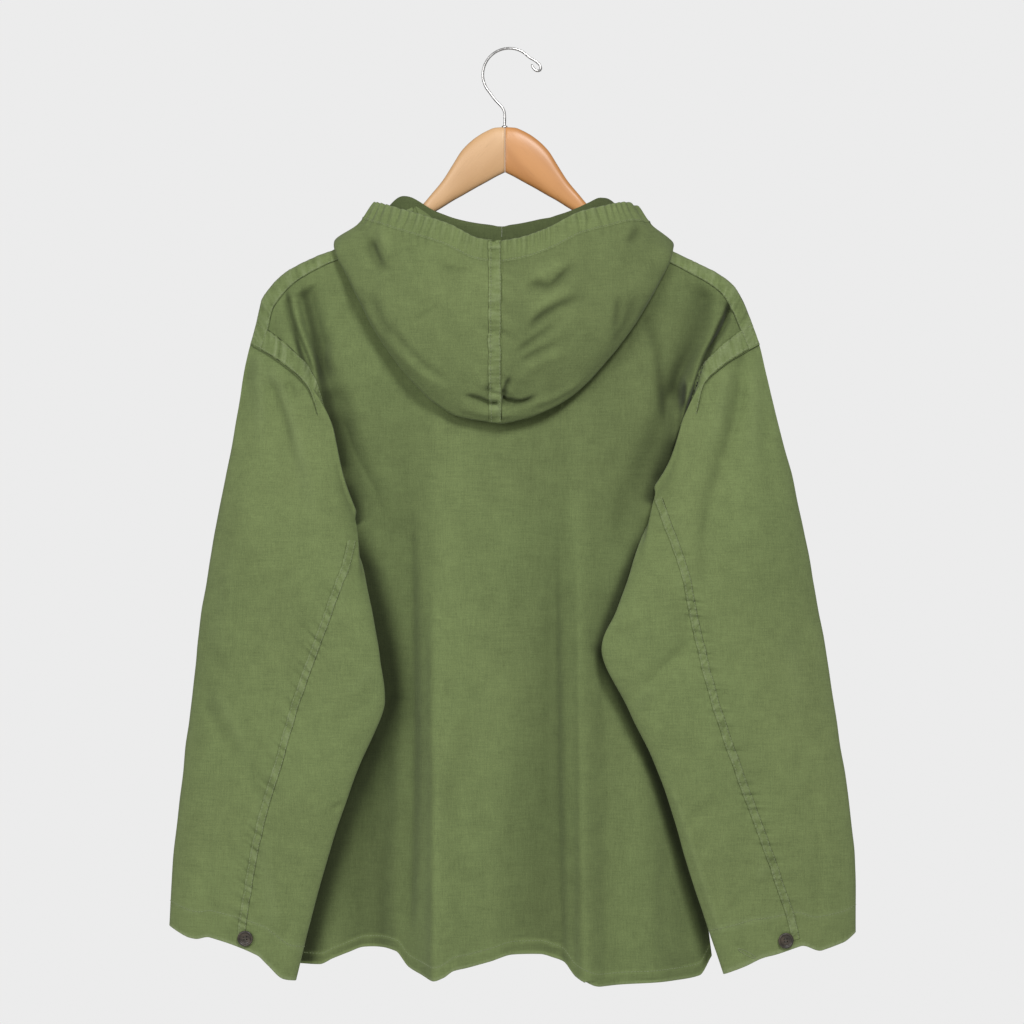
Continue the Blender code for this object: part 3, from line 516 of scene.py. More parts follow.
@dataclass(frozen=True)
class ButtonFinish:
    """Dark brown cast button with cloudy streaks and a satin shine."""

    name: str

    def build(self) -> bpy.types.Material:
        """Two browns mixed in soft streaks.

        Returns:
            The material.
        """
        made = Finish(self.name, 0.34)
        streak = made.noise(made.place((70, 70, 260), (0.5, 0.4, 0.3)), 1.0, 4.0, 0.6)
        made.set("Base Color", made.blend(streak.step(0.35, 0.7), (0.026, 0.022, 0.018),
                                          (0.075, 0.058, 0.042)))
        made.set("Roughness", 0.28 + streak * 0.18)
        made.bump(made.noise(made.place(), 1400.0, 2.0), 0.2, 0.00006)
        return made.material


@dataclass(frozen=True)
class FloorFinish:
    """Plain pale matt floor."""

    name: str

    def build(self) -> bpy.types.Material:
        """A pale grey that varies slightly.

        Returns:
            The material.
        """
        made = Finish(self.name, 0.9)
        made.set("Base Color", made.shade((0.80, 0.80, 0.79), 0.97 + made.noise(made.place(), 3.0) * 0.06))
        return made.material


# ---------------------------------------------------------------- meshes


def grid_faces(rows: int, columns: int, closed: bool) -> Array:
    """The four corners of each cell of a grid; closed joins the last column to the first."""
    index = np.arange(rows * columns).reshape(rows, columns)
    right = np.roll(index, -1, axis=1) if closed else index[:, 1:]
    left = index if closed else index[:, :-1]
    return np.stack([left[:-1], right[:-1], right[1:], left[1:]], axis=-1).reshape(-1, 4)


def add_mesh(name: str, points: Array, faces: Array, finish: bpy.types.Material,
             fade: Optional[Array] = None) -> bpy.types.Object:
    """An object of these points and faces, shaded smooth.

    Args:
        name: The object's name.
        points: Its points in millimetres.
        faces: The point numbers of each face, all with as many corners.
        finish: Its material.
        fade: The cloth's colour at each point, from -1, darkest painted shade, to 1, most faded by wear.

    Returns:
        The object.
    """
    mesh = bpy.data.meshes.new(name)
    points = points.reshape(-1, 3)
    corners = faces.shape[1]
    mesh.vertices.add(len(points))
    mesh.vertices.foreach_set("co", (points * MM).astype(np.float32).ravel())
    mesh.loops.add(faces.size)
    mesh.loops.foreach_set("vertex_index", faces.astype(np.int32).ravel())
    mesh.polygons.add(len(faces))
    mesh.polygons.foreach_set("loop_start", np.arange(0, faces.size, corners, dtype=np.int32))
    mesh.polygons.foreach_set("use_smooth", np.ones(len(faces), dtype=bool))
    mesh.update(calc_edges=True)
    mesh.validate()
    if fade is not None:
        layer = mesh.attributes.new("fade", "FLOAT", "POINT")
        layer.data.foreach_set("value", np.clip(fade, -1, 1).astype(np.float32).ravel())
    mesh.materials.append(finish)
    made = bpy.data.objects.new(name, mesh)
    bpy.context.scene.collection.objects.link(made)
    return made


@dataclass
class Cloth:
    """A cloth surface as a grid of points, rows by columns, with its fade at each.

    fade over 0 is wear with painted light on crests, and under 0 a darker tone and painted shade.

    Columns run round or across it and rows down it.  outward says on which side of it the outside lies: 1
    where the way across times the way down points out, and -1 where it points in.
    """

    points: Array
    fade: Array
    closed: bool = False
    outward: float = 1.0

    def normals(self) -> Array:
        """The outward direction at each point, square to its neighbours."""
        if self.closed:
            across = np.roll(self.points, -1, axis=1) - np.roll(self.points, 1, axis=1)
        else:
            across = np.gradient(self.points, axis=1)
        return unit(np.cross(across, np.gradient(self.points, axis=0))) * self.outward

    def tree(self) -> BVHTree:
        """The surface as something that a line can be shot at."""
        rows, columns = self.points.shape[:2]
        return BVHTree.FromPolygons(self.points.reshape(-1, 3).tolist(),
                                    grid_faces(rows, columns, self.closed).tolist())

    def hemmed(self, roll: float, turned: float, rows: int = 8) -> "Cloth":
        """The cloth with its last row rolled under and turned up inside.

        The roll is half a circle of radius `roll` from the edge, and past it the cloth runs back up, two
        radii inside, for `turned` millimetres.

        Args:
            roll: Radius of the roll.
            turned: How far the cloth runs back up inside.
            rows: Rows of the turned part.

        Returns:
            The longer cloth.
        """
        normals = self.normals()
        edge, out = self.points[-1], normals[-1]
        down = unit(self.points[-1] - self.points[-3])
        angles = np.linspace(0, math.pi, 6)[1:, None, None]
        rolled = edge + down * roll * np.sin(angles) - out * roll * (1 - np.cos(angles))
        steps = np.linalg.norm(np.diff(self.points[::-1], axis=0), axis=2)
        reach = np.concatenate([np.zeros((1, steps.shape[1])), np.cumsum(steps, axis=0)]).mean(axis=1)
        at = np.interp(np.linspace(0, turned, rows)[1:], reach, np.arange(len(reach)))
        low = np.floor(at).astype(int)
        share = (at - low)[:, None, None]
        inside = self.points - 2 * roll * normals
        back = inside[::-1]
        upward = back[low] * (1 - share) + back[low + 1] * share
        fade = np.repeat(self.fade[-1:], len(rolled) + len(upward), axis=0)
        return Cloth(np.concatenate([self.points, rolled, upward]), np.concatenate([self.fade, fade]),
                     self.closed, self.outward)

    def build(self, name: str, finish: bpy.types.Material) -> bpy.types.Object:
        """The cloth as an object."""
        rows, columns = self.points.shape[:2]
        faces = grid_faces(rows, columns, self.closed)
        if self.outward < 0:
            faces = faces[:, ::-1]
        return add_mesh(name, self.points, faces, finish, self.fade)


# ---------------------------------------------------------------- the cut


@dataclass(frozen=True)
class Cut:
    """The seam lines that the pieces share: neck, shoulders, armholes and side seams."""

    ridge_y: float = 0.75
    neck_half_width: float = 88.0
    neck_side_z: float = -145.0
    neck_back: tuple[float, float] = (11.0, 35.0)
    neck_front: tuple[float, float] = (-22.0, 95.0)
    armhole_depth: float = 24.0
    underarm_y: float = 5.0
    underarm_half_gap: float = 1.1
    shoulders: tuple = (
        ((88, -145), (150, -184.5), (163, -191.5), (180.5, -198), (207.5, -211.5), (218.5, -220),
         (226, -228.5), (233.5, -240), (237, -254.5), (240.5, -269), (244.5, -283)),
        ((-88, -145), (-148, -185.5), (-160, -193), (-172.5, -199), (-187, -206), (-206.5, -216),
         (-219, -226), (-228, -240), (-235, -257), (-240.5, -272), (-244.5, -283)))
    armholes: tuple = (
        ((0, 244.5, -283), (0.2, 211, -303.5), (0.35, 188, -326), (0.5, 178, -356),
         (0.75, 167, -408), (1, 147, -461)),
        ((0, -244.5, -283), (0.2, -211, -302.5), (0.35, -190, -323), (0.5, -183, -350),
         (0.75, -170, -392), (1, -146, -430)))
    sides: tuple = (
        ((0, 147, 5, -461), (0.1, 153, -5, -502), (0.5, 178, -9, -667), (1, 212, -9, -876)),
        ((0, -146, 5, -430), (0.1, -150, -5, -472), (0.5, -171, -9, -645), (1, -199, -9, -870)))

    def neck(self, angle: Array) -> Array:
        """The neckline at angles in degrees, 0 at the middle of the back and 90 on the wearer's left.

        It is an oval in plan, fuller in front, that dips as a cosine squared behind and as a sine in front.
        """
        angle = (np.asarray(angle, dtype=float) + 180) % 360 - 180
        side, turn = np.sign(angle), np.abs(angle)
        forward = np.abs(np.cos(np.radians(turn)))
        front = np.clip((turn - 90) / 90, 0, 1)
        behind = turn <= 90
        x = side * self.neck_half_width * np.where(behind, np.sin(np.radians(turn)), 1 - front)
        y = np.where(behind, self.neck_back[0] * forward**0.5, self.neck_front[0] * front**0.33)
        dip = np.where(behind, self.neck_back[1] * forward**2, self.neck_front[1]
                       * np.sin(0.5 * np.pi * front))
        return np.stack([x, y, self.neck_side_z - dip], axis=-1)

    def shoulder(self, side: Side, face: Face, share: Array) -> Array:
        """The shoulder seam at shares of its length from the sleeve's head to the neck."""
        line = np.asarray(self.shoulders[0 if side is Side.LEFT else 1], dtype=float)[::-1]
        xz = smooth(length_share(line), line, share)
        return np.stack([xz[..., 0], np.full(xz.shape[:-1], face.value * self.ridge_y), xz[..., 1]], axis=-1)

    def armhole(self, side: Side, face: Face, share: Array) -> Array:
        """The bowed armhole seam at shares of its length from the sleeve's head to the underarm."""
        table = np.asarray(self.armholes[0 if side is Side.LEFT else 1], dtype=float)
        share = np.clip(share, 0, 1)
        xz = smooth(table[:, 0], table[:, 1:], share)
        bow = self.ridge_y + (self.armhole_depth - self.ridge_y) * np.sin(np.pi * share) ** 0.75
        low = share**6
        y = face.value * bow * (1 - low) + (self.underarm_y + face.value * self.underarm_half_gap) * low
        return np.stack([xz[..., 0], y, xz[..., 1]], axis=-1)

    def side_seam(self, side: Side, face: Face, share: Array) -> Array:
        """The side seam at shares of its length from the underarm to the hem."""
        table = np.asarray(self.sides[0 if side is Side.LEFT else 1], dtype=float)
        line = smooth(table[:, 0], table[:, 1:], np.clip(share, 0, 1))
        half = self.ridge_y + (self.underarm_half_gap - self.ridge_y) * (1 - ease(0, 0.3, share))
        line[..., 1] += face.value * half
        return line


@dataclass(frozen=True)
class Panel:
    """The back or the front of the body, cut in one piece from the shoulders to the hem.

    arm is the hanger's arm under the cloth, as rows of x, top and underside.  The cloth rests arm_rest out on it
    and leaves it at arm_slope below it and past arm_tip.  least_y keeps the back and the front apart.
    wear_and_painted_shade says how much paler a crest is, as wear and painted light, and how much darker a
    trough is, as painted shade, for each millimetre, within wear_and_painted_shade_limits.
    tone_and_painted_shade gives the whole panel a darker tone, and its side towards the wearer's right painted
    shade.  painted_shadows are crease lines painted into the colour as dark shade.  A strip beside each sleeve's
    inner edge, as wide as shaded_reach, is darkened by shaded as painted shade.
    """

    cut: Cut
    face: Face
    middle: Table
    hem: Table
    folds: tuple[Fold, ...]
    creases: tuple[Crease, ...]
    across_flat: tuple[float, float]
    seed: int
    shoulder_share: float = 0.34
    armhole_share: float = 0.30
    squareness: Table = ((0, 12), (0.06, 9), (0.15, 5), (0.4, 2.8), (1, 2.4))
    drop: float = 700.0
    shoulder_bend: float = 5.0
    top_fade: float = 7.0
    shoulder_depth: float = 9.5
    down_flat: tuple[float, float] = (0.05, 0.32)
    fold_free: float = 0.12
    hem_depth: float = 11.5
    arm: Table = ((60, -125, -151), (88, -156.5, -171), (120, -175, -190), (160, -197, -212),
                  (185, -209, -226),
                  (205, -219.5, -237), (221, -228, -241))
    arm_rest: float = 7.6
    sleeves: tuple[Table, ...] = ()
    arm_slope: float = 0.9
    arm_tip: float = 219.0
    least_y: tuple[float, float] = (0.5, 2.0)
    # A darker tone over the panel, and painted shade towards the wearer's right.
    tone_and_painted_shade: tuple[float, float] = (0.17, 0.17)
    wear_and_painted_shade: float = 0.014
    wear_and_painted_shade_limits: tuple[float, float] = (-0.3, 0.12)
    # Painted shade beside the sleeves: how dark, and how wide on the left and the right.
    shaded: float = 0.8
    shaded_reach: tuple[float, float] = (15.0, 8.0)
    # Crease lines painted into the colour as dark shade.
    painted_shadows: tuple[Crease, ...] = ()

    def _top(self, u: Array) -> Array:
        """The top edge: the left shoulder, the neckline and the right shoulder, in that order across."""
        share, sign = self.shoulder_share, self.face.value
        turn = np.clip((u - share) / (1 - 2 * share), 0, 1)
        neckline = self.cut.neck(90 - sign * 180 * turn)
        neckline[..., 1] = sign * np.maximum(sign * neckline[..., 1], self.cut.ridge_y)
        left = self.cut.shoulder(Side.LEFT, self.face, np.clip(u / share, 0, 1))
        right = self.cut.shoulder(Side.RIGHT, self.face, np.clip((1 - u) / share, 0, 1))
        u = u[..., None]
        return np.where(u < share, left, np.where(u > 1 - share, right, neckline))

    def _edge(self, side: Side, v: Array) -> Array:
        """A side edge: the armhole, and below it the side seam."""
        share = self.armhole_share
        upper = self.cut.armhole(side, self.face, v / share)
        lower = self.cut.side_seam(side, self.face, (v - share) / (1 - share))
        return np.where(v[..., None] < share, upper, lower)

    def _hem_line(self, u: Array) -> Array:
        """The hem, straight between the side seams in plan and waved in height."""
        left = self.cut.side_seam(Side.LEFT, self.face, np.ones(1))[0]
        right = self.cut.side_seam(Side.RIGHT, self.face, np.ones(1))[0]
        hem = np.asarray(self.hem, dtype=float)
        x = left[0] + (right[0] - left[0]) * u
        y = left[1] + (right[1] - left[1]) * u
        return np.stack([x, y, smooth(hem[:, 0], hem[:, 1], x)], axis=-1)

    def surface(self, u: Array, v: Array, detail: bool = True) -> Array:
        """Points of the panel: its four edges blended inwards, then crowned, then folded.

        Args:
            u: Share across, from the wearer's left to the right.
            v: Share down, from the shoulders to the hem.
            detail: Whether creases and unevenness are added to the large folds.

        Returns:
            The points, in millimetres.
        """
        sign = self.face.value
        ends = np.array([0.0, 1.0])
        corners_top, corners_hem = self._top(ends), self._hem_line(ends)
        left, right = self._edge(Side.LEFT, v), self._edge(Side.RIGHT, v)
        top, bottom = self._top(u), self._hem_line(u)
        s, t = u[..., None], v[..., None]
        fading = (1 - t) ** (1 + self.top_fade * np.abs(2 * s - 1) ** 4)
        points = (fading * (top - (1 - s) * corners_top[0] - s * corners_top[1])
                  + t * (bottom - (1 - s) * corners_hem[0] - s * corners_hem[1]) + (1 - s) * left + s * right)
        power = smooth(*np.asarray(self.squareness, dtype=float).T, v)
        crown = smooth(*np.asarray(self.middle, dtype=float).T, v)
        flatter = ease(*self.across_flat, np.abs(u - 0.5)) * (1 - ease(*self.down_flat, v))
        crown = crown + (sign * self.shoulder_depth - crown) * flatter
        sides = (1 - u) * left[..., 1] + u * right[..., 1]
        edge = np.abs(2 * u - 1)
        depth = crown + (sides - crown) * edge**power
        bend = 1 - np.exp(-v * self.drop / self.shoulder_bend)
        bend = bend + (1 - bend) * edge**30
        points[..., 1] = top[..., 1] + (depth - top[..., 1]) * bend
        x, z = points[..., 0].copy(), points[..., 2].copy()
        plain = points[..., 1].copy()
        inside = ease(0, self.fold_free, u) * ease(0, self.fold_free, 1 - u) * ease(0, 0.03, v)
        points[..., 1] += inside * relief(self.folds, x, z)
        if detail:
            near = ease(0, 0.02, u) * ease(0, 0.02, 1 - u) * ease(0, 0.012, v)
            points[..., 1] += near * relief(self.creases, x, z)
            points[..., 1] += sign * near * (
                1.5 * wander(x + 0.12 * z, z, 34, 150, self.seed) + 0.7 * wander(x, z, 17, 60, self.seed + 1)
                + 0.10 * wander(x, z, 7, 9, self.seed + 2))
            from_hem = (1 - v) * self.drop
            seam = np.exp(-((from_hem - self.hem_depth) / 5.0) ** 2)
            ripple = wander(x + 0.25 * z, z * 0, 5.5, 10, self.seed + 3)
            points[..., 1] += sign * (0.45 * (1 - ease(self.hem_depth - 1.5, self.hem_depth + 1.0, from_hem))
                                      + 0.42 * seam * ripple)
            arm_x, arm_top, arm_under = np.asarray(self.arm, dtype=float).T
            below = (np.maximum(0, np.interp(np.abs(x), arm_x, arm_under) - z)
                     + np.maximum(0, np.abs(x) - self.arm_tip))
            least = np.minimum(sign * plain, self.arm_rest) - self.arm_slope * below
            raised = sign * points[..., 1]
            raised = 0.5 * (raised + least + np.sqrt((raised - least) ** 2 + 1.0))
            over = z < np.interp(np.abs(x), arm_x, arm_top) - 2
            points[..., 1] = np.where(over, sign * raised, points[..., 1])
            keep = np.minimum(sign * plain, self.least_y[0 if sign > 0 else 1] - 30 * ease(0.30, 0.45, v))
            kept = sign * points[..., 1]
            kept = 0.5 * (kept + keep + np.sqrt((kept - keep) ** 2 + 0.5))
            points[..., 1] += near * (sign * kept - points[..., 1])
        return points

    def grid(self, u: Array, v: Array) -> Cloth:
        """The panel over a grid of shares, paler at the hem and along the seams.

        It has painted light on crests, and painted shade in troughs, along crease lines, beside the sleeves and
        towards the wearer's right.
        """
        across, down = np.meshgrid(u, v)
        points = self.surface(across, down)
        from_hem = (1 - down) * self.drop
        fade = 0.75 * (1 - ease(0.5, 3.5, from_hem)) + 0.30 * np.exp(-((from_hem - self.hem_depth)
                                                                       / 2.0) ** 2)
        edge = np.minimum(across, 1 - across)
        fade = fade + 0.35 * (1 - ease(0.0, 0.012, edge))
        x, z = points[..., 0], points[..., 2]
        # Painted light and shade from the relief: crests paler, partly as wear, and troughs darker as painted
        # shade.
        fade = fade + np.clip(self.wear_and_painted_shade * (relief(self.creases, x, z) + relief(self.folds, x, z)),
                              *self.wear_and_painted_shade_limits)
        # A darker tone over the whole panel, more painted shade towards the wearer's right, and crease lines
        # painted as dark shade.
        fade = fade - self.tone_and_painted_shade[0] - self.tone_and_painted_shade[1] * ease(40, -120, x) + relief(self.painted_shadows, x, z)
        # Painted shade on a strip beside each sleeve's inner edge, from below the underarms down.
        for table, reach, sign in zip(self.sleeves, self.shaded_reach, (1, -1)):
            inner = np.asarray(table, dtype=float)
            beside = np.maximum(0, sign * (np.interp(-z, -inner[:, 4], inner[:, 3]) - x))
            fade = fade - self.shaded * ease(-440, -500, z) * np.exp(-(beside / reach) ** 2)
        return Cloth(points, fade)

    def cloth(self, columns: int, rows: int) -> Cloth:
        """The whole panel, hemmed."""
        v = np.concatenate([np.linspace(0, 0.04, 18)[:-1], np.linspace(0.04, 0.97, rows),
                            np.linspace(0.97, 1, 16)[1:]])
        made = self.grid(np.linspace(0, 1, columns), v)
        if float(np.mean(made.normals()[..., 1])) * self.face.value < 0:
            made.outward = -1.0
        return made.hemmed(0.7, 11.0)


@dataclass(frozen=True)
class Sleeve:
    """One sleeve as a flattened tube from the armhole to the cuff, its inner edge hanging behind the body."""

    side: Side
    panels: tuple[Panel, Panel]
    sections: Table
    cuff_drop: Table
    folds: tuple[Fold, ...]
    creases: tuple[Crease, ...]
    front_creases: tuple[Crease, ...]
    seed: int
    head_fade: float = 0.3
    edge_power: float = 1.15
    tuck: float = 0.008
    cuff_hem: float = 26.0
    length: float = 570.0
    lap: float = 11.0
    lap_lift: float = 6.0
    crease_depth: float = 1.5
    # Crests on the sleeve's back are paler, as wear and painted light, and troughs darker, as painted shade,
    # within limits.
    wear_and_painted_shade: float = 0.07
    wear_and_painted_shade_limits: tuple[float, float] = (-0.5, 0.3)

    def _rings(self, row: Array, turn: Array) -> Array:
        """Plain rings: a straight line from the outer to the inner edge, thickened as a power of the sine."""
        table = np.asarray(self.sections, dtype=float)
        outer_x, outer_z, inner_x, inner_z, outer_y, inner_y, half = np.moveaxis(
            smooth(table[:, 0], table[:, 1:], row), -1, 0)
        share = (1 - np.cos(turn)) / 2
        thick = np.sign(np.sin(turn)) * np.abs(np.sin(turn)) ** self.edge_power
        return np.stack([outer_x + (inner_x - outer_x) * share,
                         outer_y + (inner_y - outer_y) * share + half * thick,
                         outer_z + (inner_z - outer_z) * share], axis=-1)

    def _head(self, turn: Array) -> Array:
        """The sleeve's head, tucked a little way under the armhole edges of the back and the front."""
        share = (1 - np.cos(turn)) / 2
        result = np.zeros(turn.shape + (3,))
        for panel, behind in zip(self.panels, (np.sin(turn) >= 0, np.sin(turn) < 0)):
            u = np.full(turn.shape, self.tuck if self.side is Side.LEFT else 1 - self.tuck)
            under = panel.surface(u, panel.armhole_share * share, detail=False)
            sign = panel.face.value
            middle = share**6 * panel.cut.underarm_y
            under[..., 1] = middle + sign * np.maximum(0.1, sign * (under[..., 1] - middle) - 1.0)
            result = np.where(behind[..., None], under, result)
        return result

    def surface(self, row: Array, turn: Array, detail: bool = True) -> Array:
        """Points of the sleeve.

        Args:
            row: Share of its length from the armhole to the cuff.
            turn: Angle round it, 0 at the outer edge and a quarter turn at the back.
            detail: Whether creases and unevenness are added to the large folds.

        Returns:
            The points, in millimetres.
        """
        points = self._rings(row, turn)
        fade = 1 - ease(0, self.head_fade, row)
        points += fade[..., None] * (self._head(turn) - self._rings(np.zeros_like(row), turn))
        share = (1 - np.cos(turn)) / 2
        cuff = np.asarray(self.cuff_drop, dtype=float)
        points[..., 2] -= ease(0.85, 1, row) * smooth(cuff[:, 0], cuff[:, 1], share)
        x, z = points[..., 0].copy(), points[..., 2].copy()
        behind = np.clip(np.sin(turn), 0, 1)
        points[..., 1] += behind**0.5 * ease(0, 0.08, row) * relief(self.folds, x, z)
        lapped = ease(0.26, 0.55, share) * (1
                - ease(0.90, 0.995, share)) * np.sin(np.clip(turn, 0, np.pi)) ** 0.1
        lapped = np.where(np.sin(turn) > 0, lapped, 0.0)
        points[..., 0] -= self.side.value * self.lap * lapped * ease(0, 0.003, row) * (1
                - ease(0.02, 0.22, row))
        points[..., 1] += self.lap_lift * lapped * ease(0, 0.007, row) * (1 - ease(0.04, 0.26, row))
        if detail:
            points[..., 1] += behind**0.35 * ease(0, 0.025, row) * self.crease_depth * relief(self.creases, x,
                                                                                              z)
            ahead = np.clip(-np.sin(turn), 0, 1)
            points[..., 1] -= ahead**0.35 * ease(0, 0.025, row) * relief(self.front_creases, x, z)
            out = np.sin(turn)
            lean = x * self.side.value
            points[..., 1] += out * ease(0, 0.05, row) * (
                1.2 * wander(lean + 0.25 * z, z, 36, 120, self.seed) + 0.5
                * wander(lean + 0.4 * z, z, 18, 40, self.seed + 1)
                + 0.10 * wander(x, z, 7, 9, self.seed + 2))
            swing = ease(0.04, 0.12, row) * ease(0, 0.06, 1 - row)
            edge = np.abs(np.cos(turn)) ** 6 * np.sign(np.cos(turn)) * self.side.value
            points[..., 0] += edge * swing * 0.9 * wander(z * 0, z, 10, 26, self.seed + 4)
            from_cuff = (1 - row) * self.length
            seam = np.exp(-((from_cuff - self.cuff_hem) / 5.0) ** 2)
            ripple = wander(x + 0.25 * z, z * 0, 6.0, 10, self.seed + 3)
            points[..., 1] += out * (0.45 * (1 - ease(self.cuff_hem - 1.5, self.cuff_hem + 1.0, from_cuff))
                                     + 0.45 * seam * ripple)
        return points

    def cloth(self, behind: int, ahead: int, rows: int) -> Cloth:
        """The sleeve, with `behind` columns on its back and `ahead` on its front, hemmed at the cuff."""
        turn = np.concatenate([np.linspace(0, np.pi, behind + 1)[:-1],
                               np.linspace(np.pi, 2 * np.pi, ahead + 1)[:-1]])
        row = np.concatenate([0.06 * np.linspace(0, 1, 22)[:-1] ** 2.2, np.linspace(0.06, 0.97, rows),
                              np.linspace(0.97, 1, 14)[1:]])
        round_, down = np.meshgrid(turn, row)
        points = self.surface(down, round_)
        from_cuff = (1 - down) * self.length
        fade = (0.75 * (1 - ease(0.5, 3.5, from_cuff))
                + 0.25 * np.exp(-((from_cuff - self.cuff_hem) / 2.0) ** 2) + 0.12
                * np.abs(np.cos(round_)) ** 16)
        behind_only = np.clip(np.sin(round_), 0, 1) ** 0.35
        # Painted light and shade from the creases on the back: crests paler, troughs darker.
        crest_wear_and_painted_trough_shade = np.clip(self.wear_and_painted_shade * relief(self.creases, points[..., 0], points[..., 2]), *self.wear_and_painted_shade_limits)
        fade = fade + behind_only * crest_wear_and_painted_trough_shade
        made = Cloth(points, fade, closed=True)
        back = np.sin(round_) > 0.5
        if float(np.mean(made.normals()[..., 1][back])) < 0:
            made.outward = -1.0
        return made.hemmed(0.7, 22.0)


@dataclass(frozen=True)
class Gathers:
    """The gathers of the hood's rim: uneven ripples along it that die away below the casing."""

    pitch: float = 8.4
    depth: float = 1.5
    reach: float = 21.0
    seed: int = 40

    def height(self, along: Array, below: Array) -> Array:
        """The ripples' height at a distance along the rim and a distance below it.

        It is a rounded ridge between sharp troughs, as one less twice a power of the cosine, whose pitch and
        depth wander.
        """
        phase = along / self.pitch + 0.9 * wander(along, along * 0, 26, 9, self.seed)
        drift = 0.16 * wander(along, below, 15, 14, self.seed + 1) * below / 10
        wave = 1 - 2 * np.abs(np.cos(np.pi * (phase + drift))) ** 3
        size = 0.75 + 0.45 * wander(along, along * 0, 12, 9, self.seed + 2)
        length = self.reach * (0.85 + 0.5 * wander(along, along * 0, 9, 9, self.seed + 3))
        return self.depth * size * wave * np.exp(-(below / np.maximum(length, 6)) ** 2)


